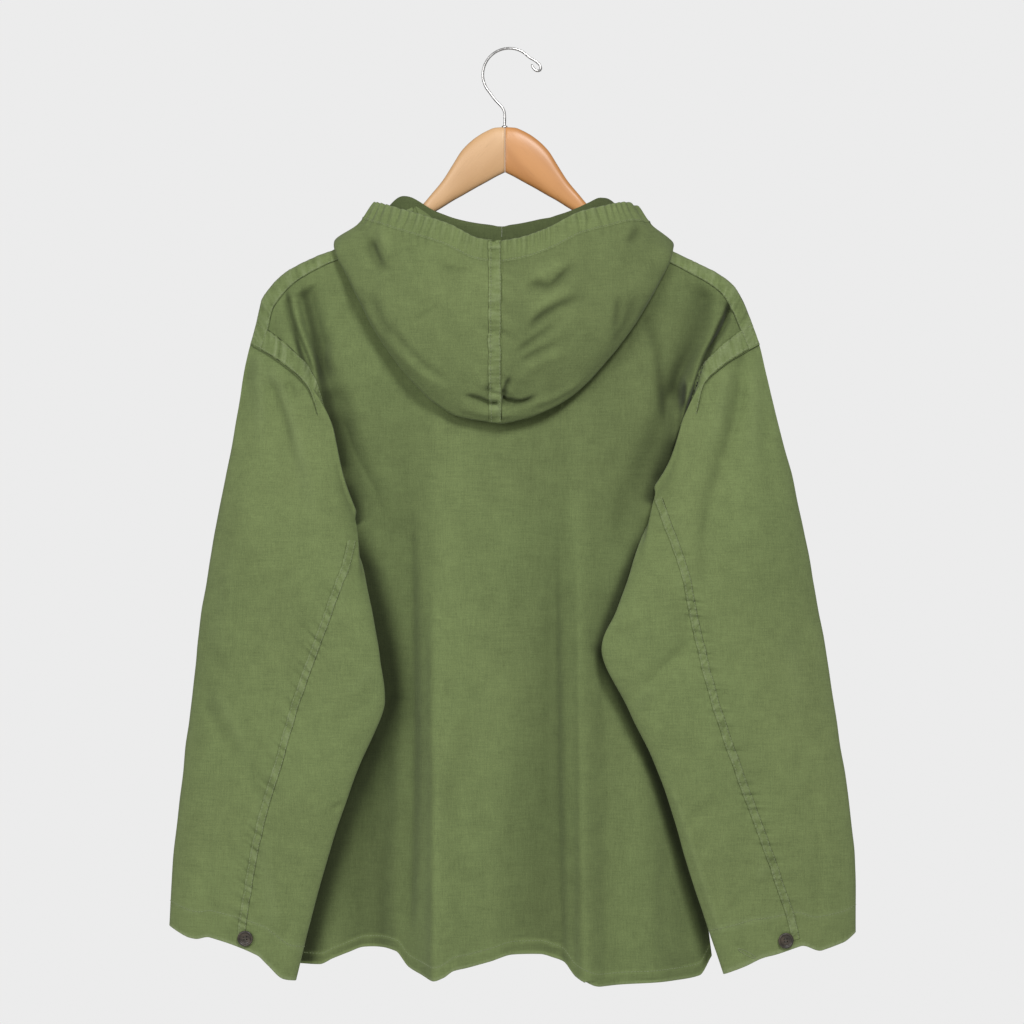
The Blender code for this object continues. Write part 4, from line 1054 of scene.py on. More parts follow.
@dataclass(frozen=True)
class HoodHalf:
    """One half of the hood, down the back: an inner layer, a bottom fold and an outer layer up to the rim."""

    side: Side
    cut: Cut
    panels: tuple[Panel, Panel]
    table: Table
    creases: tuple[Crease, ...]
    gathers: Gathers
    seed: int
    half_gap: float = 0.05
    seam_x: float = 3.0
    rise: float = 2.1
    clearance: float = 3.1
    casing: float = 20.0
    crease_depth: float = 1.85
    # Crests of the outer layer are paler, as wear and painted light, and troughs darker, as painted shade; the
    # whole hood takes a darker tone, with more painted shade on the right half.
    wear_and_painted_shade: float = 0.10
    wear_and_painted_shade_limits: tuple[float, float] = (-0.3, 0.25)
    tone_and_painted_shade: tuple[float, float] = (0.17, 0.12)
    stops: tuple[float, ...] = (0, 0.1, 0.32, 0.475, 0.5, 0.525, 0.75, 1)
    angles: tuple[float, ...] = (0, 7.5, 15, 22.5, 30, 37.5, 45, 52.5, 60, 67.5, 75, 81, 86, 90, 94, 99, 105,
                                 112.5, 120, 135, 150, 165, 180)

    def _sections(self) -> Array:
        """The sections at each angle, as 8 points from the neck seam round the bottom fold to the rim."""
        table, angles = np.asarray(self.table, dtype=float), np.asarray(self.angles)
        columns = smooth(table[:, 0], table[:, 1:], angles, free=True)
        sign = self.side.value
        columns[[0, -1], 0:12:3] += sign * self.half_gap
        top, fold, belly, rim = (columns[:, start:start + 3] for start in (0, 3, 6, 9))
        radius, press = columns[:, 12:13], columns[:, 13:14]
        neckline = self.cut.neck(np.linspace(0, 180, 721) * sign)
        along = unit(np.gradient(neckline, axis=0))
        upward = unit(np.array((0, 0, 1)) - along * along[:, 2:3])
        seam = (neckline + self.rise * upward)[np.rint(angles * 4).astype(int)]
        seam[0, 0] = self.seam_x + sign * self.half_gap
        seam[-1, 0] = sign * self.half_gap
        toward = (rim - seam) * (1, 1, 0)
        toward[[0, -1], 0] = 0
        toward = unit(toward)
        inner = fold - toward * radius + np.array((0, 0, 1.2)) * radius
        outer = fold + toward * radius + np.array((0, 0, 1.2)) * radius
        down = unit(inner - top)
        away = unit(toward - down * np.sum(toward * down, axis=1, keepdims=True))
        sag = 0.5 * (top + inner) - away * press
        return np.stack([seam, top, sag, inner, fold, outer, belly, rim])

    def _laid(self, sections: Array) -> Array:
        """The sections with the inner layer's own points kept clear of the panel that they lie on."""
        trees = [BVHTree.FromPolygons(grid.reshape(-1, 3).tolist(),
                                      grid_faces(*grid.shape[:2], False).tolist())
                 for grid in (panel.surface(*np.meshgrid(np.linspace(0, 1, 61), np.linspace(0, 0.5, 61)),
                                            False)
                              for panel in self.panels)]
        result = sections.copy()
        for row in (2, 3, 4):
            for column, angle in enumerate(self.angles):
                if angle == 90:
                    continue
                sign = 1 if angle < 90 else -1
                point = Vector(result[row, column])
                met = trees[0 if angle < 90 else 1].ray_cast(Vector((point.x, sign * 500, point.z)),
                                                             Vector((0, -sign, 0)))[0]
                if met is not None:
                    result[row, column, 1] = sign * max(sign * point.y, sign * met.y + self.clearance)
        return result

    def lines(self, columns: int, samples: int = 401) -> Array:
        """Fine lines from the neck seam to the rim, at even angles round the neck."""
        sections = self._laid(self._sections())
        down = smooth(np.asarray(self.stops), sections, np.linspace(0, 1, samples), free=True)
        angles = np.linspace(0, 180, columns)
        return np.moveaxis(smooth(np.asarray(self.angles), np.moveaxis(down, 1, 0), angles, free=True), 0, 1)

    def pieces(self, columns: int, rows: int) -> tuple[Cloth, Cloth]:
        """The hood's cloth, and the casing that is turned over its rim and gathered.

        Each column is read at shares of its length: the hood up to the casing, and the casing over the rim
        and down inside.  Both are moved out by the gathers, the hood's outer layer by its creases.

        Args:
            columns: Columns round the neck.
            rows: Rows from the neck seam to the casing.

        Returns:
            The hood and the casing.
        """
        lines = self.lines(columns)
        steps = np.linalg.norm(np.diff(lines, axis=0), axis=2)
        reached = np.concatenate([np.zeros((1, columns)), np.cumsum(steps, axis=0)])
        below = reached[-1] - reached
        rim = lines[-1]
        along = np.concatenate([[0], np.cumsum(np.linalg.norm(np.diff(rim, axis=0), axis=1))])
        out = unit(np.cross(np.gradient(lines, axis=1), np.gradient(lines, axis=0)))
        sign = 1.0 if float(np.mean(out[-60:, : columns // 3, 1])) > 0 else -1.0
        out = out * sign
        x, z = lines[..., 0].copy(), lines[..., 2].copy()
        span = np.broadcast_to(along, below.shape)
        outer = ease(0.50, 0.56, np.linspace(0, 1, len(lines)))[:, None]
        behind = ease(0, 30, 100 - np.linspace(0, 180, columns))[None, :]
        seam = ease(0.0, 4.0, span)
        height = outer * self.gathers.height(span + 300 * (self.side.value < 0), below) * (0.25 + 0.75 * seam)
        wrinkles = outer * behind * relief(self.creases, x, z)
        height = height + self.crease_depth * wrinkles
        uneven = 0.9 * wander(x + 0.4 * z, z, 26, 34, self.seed) + 0.35 * wander(x, z, 11, 15, self.seed + 1)
        height = height + (0.4 + 0.6 * outer) * seam * uneven - 0.9 * outer * np.exp(-(span / 1.3) ** 2)
        shaped = lines + out * height[..., None]
        index = np.arange(columns)
        samples = np.arange(len(lines))

        def between(values: Array, at: Array) -> Array:
            """The values at samples that need not be whole numbers, column by column."""
            low = np.clip(np.floor(at).astype(int), 0, len(lines) - 2)
            share = (at - low)[..., None]
            return values[low, index] * (1 - share) + values[low + 1, index] * share

        def read(distance: Array, lift: float) -> Array:
            """The shaped lines at distances below the rim, lifted off the cloth."""
            at = np.stack([np.interp(-distance, -below[:, column], samples) for column in index], axis=1)
            return between(shaped, at) + lift * between(out, at)

        spread = np.linspace(0, 1, rows)[:, None]
        whole = reached[-1][None, :] - (self.casing - 2.0)
        at = np.stack([np.interp(spread[:, 0] * whole[0, column], reached[:, column], samples)
                       for column in index], axis=1)
        low = np.clip(np.floor(at).astype(int), 0, len(lines) - 2)
        hood = between(shaped, at)
        # A darker tone, more painted shade on the right half, and painted light and shade from the crests and
        # troughs.
        tone_and_painted_shade = self.tone_and_painted_shade[0] + (self.tone_and_painted_shade[1] if self.side is Side.RIGHT else 0.0)
        crests = wrinkles[low, index] + 0.35 * height[low, index]
        hood_fade = np.clip(self.wear_and_painted_shade * crests, *self.wear_and_painted_shade_limits) - tone_and_painted_shade
        # The hood's front and its inner layer under the outer one are darkened as painted shade.
        ahead = ease(97, 110, np.linspace(0, 180, columns))[None, :]
        painted_inner_shade = np.maximum(ahead, 0.5 * (1 - ease(0.42, 0.5, spread)))
        hood_fade = hood_fade * (1 - painted_inner_shade) - painted_inner_shade
        outside = read(np.linspace(self.casing, 0.6, 14), 0.4)
        inside = read(np.linspace(0.6, self.casing - 2, 12), -0.9)
        crest = read(np.array([0.0]), 0.0) + unit(shaped[-1] - shaped[-8])[None] * 0.6
        casing = np.concatenate([outside, crest, inside])
        rim_fade = np.concatenate([np.linspace(0.15, 0.5, 14), [0.95], np.linspace(0.5, 0.1, 12)])
        ripples = self.gathers.height(along + 300 * (self.side.value < 0), along * 0) / self.gathers.depth
        casing_fade = rim_fade[:, None] * (0.45 + 0.55 * np.clip(ripples, 0, 1)[None, :])
        casing_fade[0] = 0.55
        # The casing takes the darker tone, and its front part is darkened as painted shade.
        casing_fade = (casing_fade - 0.8 * tone_and_painted_shade) * (1 - ahead) - ahead
        return (Cloth(hood, hood_fade, outward=sign), Cloth(casing, casing_fade, outward=sign))


# ---------------------------------------------------------------- sewing


@dataclass(frozen=True)
class Drape:
    """A way to lay things on a cloth: its surface, and the side that it is looked at from."""

    tree: BVHTree
    face: Face

    def lay(self, xz: Array) -> Array:
        """The points of the cloth under points x, z, as far as it reaches."""
        sign = self.face.value
        flat = xz.reshape(-1, 2)
        way = Vector((0, -sign, 0))
        hits = [self.tree.ray_cast(Vector((x, sign * 500, z)), way)[0] for x, z in flat.tolist()]
        y = np.array([hit.y if hit is not None else np.nan for hit in hits])
        known = np.flatnonzero(~np.isnan(y))
        if len(known) < len(y):
            y = np.interp(np.arange(len(y)), known, y[known])
        return np.concatenate([flat, y[:, None]], axis=1)[:, [0, 2, 1]].reshape(xz.shape[:-1] + (3,))


class Stitching:
    """All the visible stitches of one thread, joined into one piece."""

    def __init__(self, length: float = 2.3, pitch: float = 3.1, width: float = 0.34, seed: int = 7) -> None:
        """Starts with no stitches.

        Args:
            length: Length of a stitch.
            pitch: Distance from one stitch to the next.
            width: Half the thread's thickness.
            seed: Start of the small unevenness from stitch to stitch.
        """
        self.length = length
        self.pitch = pitch
        self.width = width
        self.random = np.random.default_rng(seed)
        self.points: list[Array] = []
        self.count = 0

    def run(self, line: Array, out: Array) -> None:
        """A row of stitches along a line on the cloth.

        Each is a thread bar with four sides and pointed ends that dip into the cloth.

        Args:
            line: Points of the line.
            out: The cloth's outward direction at each.
        """
        share = length_share(line)
        whole = float(np.sum(np.linalg.norm(np.diff(line, axis=0), axis=1)))
        count = int(whole / self.pitch)
        if count < 2:
            return
        centre_at = (np.arange(count) + 0.5 + self.random.uniform(-0.08, 0.08, count)) / count

        def read(at: Array, values: Array) -> Array:
            """The values at shares of the line's length."""
            return np.stack([np.interp(at, share, values[:, axis]) for axis in range(3)], axis=-1)

        half = 0.5 * self.length / whole
        centre = read(centre_at, line)
        along = unit(read(centre_at + half, line) - read(centre_at - half, line))
        normal = unit(read(centre_at, out))
        beside = unit(np.cross(along, normal))
        along = unit(along + beside * self.random.uniform(-0.10, 0.10, (count, 1)))
        size = self.length * self.random.uniform(0.9, 1.08, (count, 1))
        corners = [centre + along * size * a + (beside * b + normal * c) * self.width + normal * 0.25
                   for a, b, c in THREAD_BAR]
        corners.append(centre - along * size * 0.5 - normal * 0.2)
        corners.append(centre + along * size * 0.5 - normal * 0.2)
        self.points.append(np.stack(corners, axis=1))
        self.count += count

    def build(self, name: str, finish: bpy.types.Material) -> bpy.types.Object:
        """The stitches as one object."""
        points = np.concatenate(self.points)
        faces = np.array([(0, 1, 5), (0, 5, 4), (1, 2, 6), (1, 6, 5), (2, 3, 7), (2, 7, 6), (3, 0, 4),
                          (3, 4, 7),
                          (1, 0, 8), (2, 1, 8), (3, 2, 8), (0, 3, 8), (4, 5, 9), (5, 6, 9), (6, 7, 9),
                          (7, 4, 9)])
        every = (faces[None] + 10 * np.arange(len(points))[:, None, None]).reshape(-1, 3)
        return add_mesh(name, points, every, finish)


BAND_SHARES = np.array([0, 0.03, 0.10, 0.22, 0.36, 0.5, 0.64, 0.78, 0.90, 0.97, 1])
THREAD_BAR = ((-0.32, 1, 0), (-0.32, 0, 1), (-0.32, -1, 0), (-0.32, 0, -1),
              (0.32, 1, 0), (0.32, 0, 1), (0.32, -1, 0), (0.32, 0, -1))


@dataclass(frozen=True)
class Felled:
    """A felled seam: a raised band with a row of stitches near each edge, puckered along its length."""

    name: str
    path: Table
    width: tuple[float, float]
    lift: float = 0.75
    pucker: float = 0.42
    rows: tuple[float, ...] = (0.16, 0.84)
    slant: float = 0.0
    seed: int = 60

    def build(self, cloth: Drape, stitching: Stitching, finish: bpy.types.Material) -> bpy.types.Object:
        """The band laid on a cloth along its path.

        Across it, its height is a flat top with rounded edges.  Along it, the pucker adds short ripples.

        Args:
            cloth: What it lies on.
            stitching: Where its stitches go.
            finish: Its material.

        Returns:
            The band.
        """
        line = evenly(np.asarray(self.path, dtype=float), 1.3)
        along = unit(np.gradient(line, axis=0))
        beside = np.stack([-along[:, 1], along[:, 0]], axis=-1)
        reached = np.concatenate([[0], np.cumsum(np.linalg.norm(np.diff(line, axis=0), axis=1))])
        share = BAND_SHARES
        offset = self.width[0] + (self.width[1] - self.width[0]) * share
        sway = 0.5 * wander(reached, reached * 0, 11, 9, self.seed)
        flat = line[:, None] + beside[:, None] * (offset[None, :, None] + sway[:, None, None])
        return self.over(cloth.lay(flat), reached, share, cloth.face, stitching, finish)

    def over(self, base: Array, reached: Array, share: Array, face: Face, stitching: Stitching,
             finish: bpy.types.Material) -> bpy.types.Object:
        """The band over points already on the cloth.

        Args:
            base: The points, along the band by across it.
            reached: The distance along the band of each row.
            share: The share of the width at each column.
            face: The way that the cloth faces.
            stitching: Where the stitches go.
            finish: The band's material.

        Returns:
            The band.
        """
        out = unit(np.cross(np.gradient(base, axis=1), np.gradient(base, axis=0)))
        if float(np.mean(out[..., 1])) * face.value < 0:
            out = -out
        edge = np.minimum(share, 1 - share)
        top = np.where(edge < 0.015, -0.25, self.lift * ease(0, 0.05, edge + 0.03))
        slanted = reached[:, None] + self.slant * share[None, :] * 10
        wave = 0.75 * wander(slanted, share[None, :] * 9, 2.1, 6, self.seed + 1)
        wave = wave + 0.6 * wander(slanted, share[None, :] * 9, 4.0, 30, self.seed + 2)
        height = top[None, :] + self.pucker * wave * np.sin(np.pi * np.clip(share, 0.02, 0.98))[None,
                                                                                                :] ** 0.3
        points = base + out * height[..., None]
        # Puckers and the lines beside the stitches are paler from wear; the band's very edges get a dark line of
        # painted shade.
        wear_and_painted_light = (0.14 + 0.55 * wave + 0.30 * np.exp(-((edge - 0.10) / 0.05) ** 2)[None, :]
                  - 1.1 * np.exp(-(edge / 0.04) ** 2)[None, :])
        ends = ease(0, 3.0, reached) * ease(0, 3.0, reached[-1] - reached)
        faces = grid_faces(*points.shape[:2], False)
        normal = np.cross(points[1:, 1:] - points[:-1, :-1], points[1:, :-1] - points[:-1, 1:])
        if float(np.mean(normal[..., 1])) * face.value < 0:
            faces = faces[:, ::-1]
        made = add_mesh(self.name, points, faces, finish, wear_and_painted_light * ends[:, None])
        for row in self.rows:
            column = int(np.argmin(np.abs(share - row)))
            stitching.run(points[:, column], out[:, column])
        return made


# ---------------------------------------------------------------- hanger, buttons and room


@dataclass(frozen=True)
class Hanger:
    """A wooden hanger in two arms that meet in a mitre, with a wire hook screwed into its top."""

    half_gap: float = 0.15
    squareness: float = 0.75
    wire: float = 1.25
    bend: float = 25.4
    bend_x: float = -4.1
    turn: tuple[float, float] = (-42.0, 118.0)
    sections: Table = ((0, -74, -117.5, 6), (9, -74.5, -122, 6), (17, -77.5, -126.5, 6), (28, -84, -132.5, 6),
                       (41, -96, -140, 6), (50, -110, -145, 6), (59.5, -125, -151, 6), (71, -139, -158, 6),
                       (80, -149.5, -165, 5), (88, -156.5, -171, 5), (120, -175, -190, 5.5),
                       (160, -197, -212, 5.5), (185, -209, -226, 5.5), (205, -219.5, -237, 4.5),
                       (214, -227, -240, 3.5), (218, -231, -238, 2))
    stem: Table = ((0.4, -62), (0.8, -59), (2.2, -56), (4.6, -53), (9.4, -48))
    tip: Table = ((-24, -7.5), (-30, -11.2), (-33.6, -15), (-34.4, -17.6), (-33, -19.8), (-30, -19.8),
                  (-27.4, -17.6), (-25.4, -13.8))

    def arm(self, name: str, side: Side, finish: bpy.types.Material) -> bpy.types.Object:
        """One arm: sections with softly squared corners, from the mitre to the rounded tip."""
        table = np.asarray(self.sections, dtype=float)
        x = np.concatenate([np.linspace(0, 200, 90), np.linspace(200, 218, 16)[1:]])
        top, under, half = smooth(table[:, 0], table[:, 1:], x).T
        angle = np.linspace(0, 2 * np.pi, 33)[:-1]
        wide = np.sign(np.sin(angle)) * np.abs(np.sin(angle)) ** self.squareness
        tall = np.sign(np.cos(angle)) * np.abs(np.cos(angle)) ** self.squareness
        body = np.stack([np.repeat((side.value * (x + self.half_gap))[:, None], len(angle), axis=1),
                         half[:, None] * wide,
                         ((top + under) / 2)[:, None] + ((top - under) / 2)[:, None] * tall], axis=-1)
        first, last = (body[i].mean(axis=0) + (body[i] - body[i].mean(axis=0))
                       * np.array([[[0.98]], [[0.6]], [[0.01]]])
                       for i in (0, -1))
        last[..., 0] += side.value * np.array([[0.1], [0.35], [0.5]])
        points = np.concatenate([first[::-1], body, last])
        faces = grid_faces(*points.shape[:2], True)
        if side is Side.RIGHT:
            faces = faces[:, ::-1]
        return add_mesh(name, points, faces, finish)

    def hook(self, finish: bpy.types.Material) -> bpy.types.Object:
        """The wire: a tube of 16 sides along the stem, the round bend and the turned tip."""
        inside = self.bend - self.wire
        centre_z = -math.sqrt(inside**2 - self.bend_x**2)
        turn = np.radians(np.linspace(*self.turn, 14))
        bend = np.stack([self.bend_x + self.bend * np.cos(turn), centre_z + self.bend * np.sin(turn)],
                        axis=-1)
        route = evenly(np.concatenate([[(0.4, -73.9)], self.stem, bend, self.tip]), 0.9)
        along = unit(np.gradient(route, axis=0))
        angle = np.linspace(0, 2 * np.pi, 17)[:-1]
        size = self.wire * np.concatenate([np.ones(len(route) - 3), [0.97, 0.8, 0.4]])
        beside = np.stack([-along[:, 1], np.zeros(len(route)), along[:, 0]], axis=-1)
        centre = np.stack([route[:, 0], np.zeros(len(route)), route[:, 1]], axis=-1)
        ring = (beside[:, None] * np.cos(angle)[None, :, None] + np.array((0, 1, 0))
                * np.sin(angle)[None, :, None])
        points = centre[:, None] + ring * size[:, None, None]
        points = np.concatenate([centre[:1, None] + ring[:1] * 0.01, points, centre[-1:, None] + ring[-1:]
                                 * 0.01])
        return add_mesh("wire_hook", points, grid_faces(*points.shape[:2], True), finish)

    def ferrule(self, finish: bpy.types.Material) -> bpy.types.Object:
        """The small bright ring where the wire goes into the wood, as a turned profile."""
        profile = np.array([(1.3, -72.6), (2.1, -72.7), (2.7, -73.2), (2.9, -74.0), (2.7, -74.8)])
        angle = np.linspace(0, 2 * np.pi, 25)[:-1]
        points = np.stack([0.4 + profile[:, :1] * np.cos(angle), profile[:, :1] * np.sin(angle),
                           np.repeat(profile[:, 1:], len(angle), axis=1)], axis=-1)
        return add_mesh("wire_socket", points, grid_faces(*points.shape[:2], True), finish)


@dataclass(frozen=True)
class CuffButton:
    """A four-hole button: a dished face in a raised rim, sewn on with two bars of thread."""

    radius: float = 7.5
    hole: float = 0.85
    offset: float = 1.75
    profile: Table = ((0, 1.5), (3.4, 1.55), (4.9, 1.75), (5.4, 2.25), (5.9, 2.65), (6.5, 2.8), (7.1, 2.55),
                      (7.45, 2.0), (7.5, 1.5), (7.2, 0.5), (6.4, 0), (0, 0))

    def build(self, name: str, centre: Array, out: Array, finish: bpy.types.Material,
              thread: bpy.types.Material) -> list[bpy.types.Object]:
        """The button on its place on the cloth.

        The face is the profile turned about its axis, pressed down as a bell into each of four holes.

        Args:
            name: Start of the names.
            centre: The middle of its underside.
            out: The direction that it faces.
            finish: The button's material.
            thread: The thread's material.

        Returns:
            The button and its thread.
        """
        profile = np.asarray(self.profile, dtype=float)
        fine = evenly(profile[:9], 0.28, free=False)
        outline = np.concatenate([fine, profile[9:]])
        angle = np.linspace(0, 2 * np.pi, 65)[:-1]
        local = np.stack([outline[:, :1] * np.cos(angle), outline[:, :1] * np.sin(angle),
                          np.repeat(outline[:, 1:], len(angle), axis=1)], axis=-1)
        spots = self.offset * np.array([(math.cos(a), math.sin(a)) for a in np.radians((38, 128, 218, 308))])
        gap = np.min(np.linalg.norm(local[..., None, :2] - spots, axis=-1), axis=-1)
        top = np.arange(len(outline))[:, None] < len(fine)
        local[..., 2] -= np.where(top, 1.3 * (1 - ease(0.55 * self.hole, 1.05 * self.hole, gap)), 0)
        aside = unit(np.cross(out, (0.0, 0.0, 1.0)))
        upright = unit(np.cross(aside, out))
        frame = np.stack([aside, upright, out])
        button = add_mesh(name, local @ frame + centre, grid_faces(*local.shape[:2], True)[:, ::-1], finish)
        stitching = Stitching(length=3.3, pitch=0.9, width=0.28, seed=5)
        for first, second in ((0, 1), (2, 3)):
            ends = np.array([(*spots[first], 1.05), (*spots[second], 1.05)]) @ frame + centre
            for shift in (-0.25, 0.25):
                middle = ends + shift * unit(np.cross(ends[1] - ends[0], out))
                bar = np.stack([middle[0], middle.mean(axis=0) + 0.25 * out, middle[1]])
                stitching.points.append(self._bar(bar, out))
        sewn = stitching.build(f"{name}_thread", thread)
        return [button, sewn]

    def _bar(self, line: Array, out: Array) -> Array:
        """One thick thread bar from the first to the last of three points."""
        along = unit(line[2] - line[0])
        beside = unit(np.cross(along, out))
        size = float(np.linalg.norm(line[2] - line[0]))
        corners = [line[1] + along * size * a + (beside * b + out * c) * 0.24 + out * 0.3
                   for a, b, c in THREAD_BAR]
        corners += [line[0] - out * 0.3, line[2] - out * 0.3]
        return np.stack(corners)[None]


@dataclass(frozen=True)
class Studio:
    """A pale floor, an even pale surround, soft lamps, and the camera square to the garment's back."""

    distance: float = 3.2
    view_width: float = 0.983
    target: tuple[float, float, float] = (-0.0067, 0.0, -0.4435)
    floor_z: float = -1.3
    surround: float = 0.838
    ambient: float = 0.28
    lamps: tuple = (("key_lamp", (-0.9, 3.0, 1.6), 90, 0.9), ("fill_lamp", (1.8, 3.0, 0.5), 51, 1.6))

    def _lamp(self, name: str, place: tuple[float, float, float], power: float, size: float) -> None:
        """A square soft lamp that faces the garment."""
        light = bpy.data.lights.new(name, "AREA")
        light.energy = power
        light.size = size
        lamp = bpy.data.objects.new(name, light)
        lamp.location = place
        lamp.rotation_euler = (Vector(self.target) - Vector(place)).to_track_quat("-Z", "Y").to_euler()
        bpy.context.scene.collection.objects.link(lamp)

    def build(self, finish: bpy.types.Material) -> None:
        """Makes the floor, the surround, the lamps and the camera."""
        angle = np.linspace(0, 2 * np.pi, 97)[:-1]
        radius = np.array([0.01, 600.0, 1250.0, 1290.0, 1300.0])
        depth = np.array([0.0, 0.0, 0.0, -2.0, -12.0])
        points = np.stack([radius[:, None] * np.cos(angle), radius[:, None] * np.sin(angle),
                           np.repeat((self.floor_z / MM + depth)[:, None], len(angle), axis=1)], axis=-1)
        floor = add_mesh("floor", points, grid_faces(*points.shape[:2], True)[:, ::-1], finish)
        scene = bpy.context.scene
        world = bpy.data.worlds.new("surround")
        world.use_nodes = True
        tree = world.node_tree
        seen = tree.nodes.new("ShaderNodeLightPath").outputs["Is Camera Ray"]
        level = tree.nodes.new("ShaderNodeMapRange")
        tree.links.new(seen, level.inputs["Value"])
        level.inputs["To Min"].default_value = self.ambient
        level.inputs["To Max"].default_value = self.surround
        tree.nodes["Background"].inputs["Color"].default_value = (1, 1, 1, 1)
        tree.links.new(level.outputs["Result"], tree.nodes["Background"].inputs["Strength"])
        scene.world = world
        scene.view_settings.view_transform = "Standard"
        for lamp in self.lamps:
            self._lamp(*lamp)
        camera = bpy.data.cameras.new("camera")
        camera.sensor_width = 36
        camera.lens = 36 * self.distance / self.view_width
        camera.clip_end = 50
        holder = bpy.data.objects.new("camera", camera)
        holder.location = Vector(self.target) + Vector((0, self.distance, 0))
        holder.rotation_euler = Vector((0, -1, 0)).to_track_quat("-Z", "Y").to_euler()
        scene.collection.objects.link(holder)
        scene.camera = holder


# ---------------------------------------------------------------- tables of this garment

BACK_FOLDS = (
    Fold((100, -345), (128, -890), 34, 22, (-4, -27)),
    Fold((62, -345), (65, -890), 15, 34, (3, 21)),
    Fold((-44, -345), (-34, -890), 30, 15, (-3, -14)),
    Fold((-66, -345), (-80, -890), 15, 22, (2, 19)),
    Fold((-122, -345), (-142, -890), 34, 34, (2, 15)),
    Fold((190, -232), (170, -330), 11, 10, (-7, -14)),
    Fold((166, -345), (144, -440), 12, 16, (-13, -7)),
    Fold((-188, -240), (-166, -330), 12, 12, (-6, -13)),
    Fold((-162, -345), (-140, -430), 16, 12, (-12, -6)),
)
BACK_CREASES = (
    Crease(((195, -222), (189.5, -255), (181.5, -283), (176, -302), (173, -328)), (-5.0, -9), 5, 8,
           (0.12, 0.2)),
    Crease(((180, -318), (174, -356), (166, -392), (155, -428), (147, -455)), (-9, -17), 8, 21, (0.2, 0.2)),
    Crease(((172, -345), (152, -392), (132, -438), (122, -480)), (-6, -9), 12, 20, (0.2, 0.3)),
    Crease(((209, -226), (206, -252), (199, -275), (190, -298), (182, -322)), (-4.6, -8), 3.4, 3.6,
           (0.10, 0.2)),
    Crease(((203, -234), (195, -268), (184, -294), (177, -325)), (2.4, 3.4), 4.6, 4.6, (0.3, 0.3)),
    Crease(((228, -262), (216, -284), (204, -300)), (-2.5, -3.5), 5, 6, (0.2, 0.4)),
    Crease(((143, -240), (158, -268), (178, -290)), (-2.6, -4.2), 8, 8, (0.25, 0.2)),
    Crease(((150, -262), (162, -284), (170, -312)), (2.0, 2.0), 7, 7, (0.3, 0.3)),
    Crease(((-188, -226), (-192, -258), (-182, -286), (-172, -305), (-161, -333), (-153, -345)), (-3.5, -6.5),
           7, 7,
           (0.12, 0.25)),
    Crease(((-215.5, -243), (-211, -263), (-193, -292), (-183.5, -320), (-177, -339), (-167, -375),
            (-161, -396)),
           (-8, -12), 2.6, 2.6, (0.06, 0.15)),
    Crease(((-211, -245), (-202, -266), (-191, -293), (-181, -317), (-174, -341), (-167, -374)), (4.5, 6), 13,
           3,
           (0.15, 0.2)),
    Crease(((-171, -308), (-173, -330), (-168, -350)), (5.0, 5.0), 3.4, 3.0, (0.35, 0.35)),
    Crease(((-163, -318), (-167, -345), (-164, -376)), (-5, -6.5), 4, 3.4, (0.3, 0.3)),
    Crease(((-131, -254), (-147, -294), (-151, -322), (-155, -348), (-161, -380)), (-2.5, -4.5), 5, 8,
           (0.08, 0.3)),
    Crease(((-154, -350), (-140, -384), (-123, -423), (-112, -462), (-108, -500)), (-7, -7), 15, 17,
           (0.25, 0.35)),
    Crease(((-170, -372), (-160, -398), (-150, -424)), (-8, -12), 9, 5, (0.3, 0.2)),
    Crease(((-152, -262), (-146, -290)), (1.6, 1.0), 6, 6, (0.4, 0.4)),
    Crease(((116, -300), (112, -360), (98, -430)), (-1.6, -2.4), 11, 12, (0.3, 0.4)),
    Crease(((-104, -318), (-112, -366), (-104, -430)), (-1.6, -2.0), 9, 11, (0.3, 0.4)),
    Crease(((68, -470), (69, -600), (68, -720), (68, -888)), (3.0, 4.5), 5, 14, (0.3, 0.0)),
    Crease(((92, -400), (89, -540), (88, -700), (92, -860)), (-6.5, -7.5), 12, 6, (0.3, 0.1)),
    Crease(((82, -500), (90, -700), (98, -888)), (-0.8, -3.0), 10, 9, (0.3, 0.0)),
    Crease(((138, -560), (132, -700), (140, -860)), (-1.5, -2.0), 9, 9, (0.3, 0.2)),
    Crease(((20, -380), (6, -600), (2, -888)), (0.9, 1.4), 16, 14, (0.3, 0.0)),
    Crease(((-46, -440), (-50, -700), (-54, -888)), (-4.5, -6.0), 11, 5, (0.3, 0.0)),
    Crease(((-69, -440), (-72, -700), (-72, -888)), (3.2, 4.2), 5, 12, (0.3, 0.0)),
    Crease(((-92, -520), (-96, -720), (-94, -888)), (-0.9, -1.8), 7, 6, (0.3, 0.0)),
    Crease(((-116, -400), (-124, -640), (-140, -888)), (0.9, 1.6), 12, 12, (0.3, 0.0)),
    Crease(((-96, -350), (-110, -420), (-128, -500)), (-1.2, -1.8), 9, 9, (0.3, 0.4)),
    Crease(((92, -350), (104, -430), (116, -520)), (-1.6, -2.0), 10, 10, (0.3, 0.4)),
    Crease(((-160, -740), (-150, -800), (-152, -868)), (-1.4, -2.2), 7, 8, (0.4, 0.1)),
)
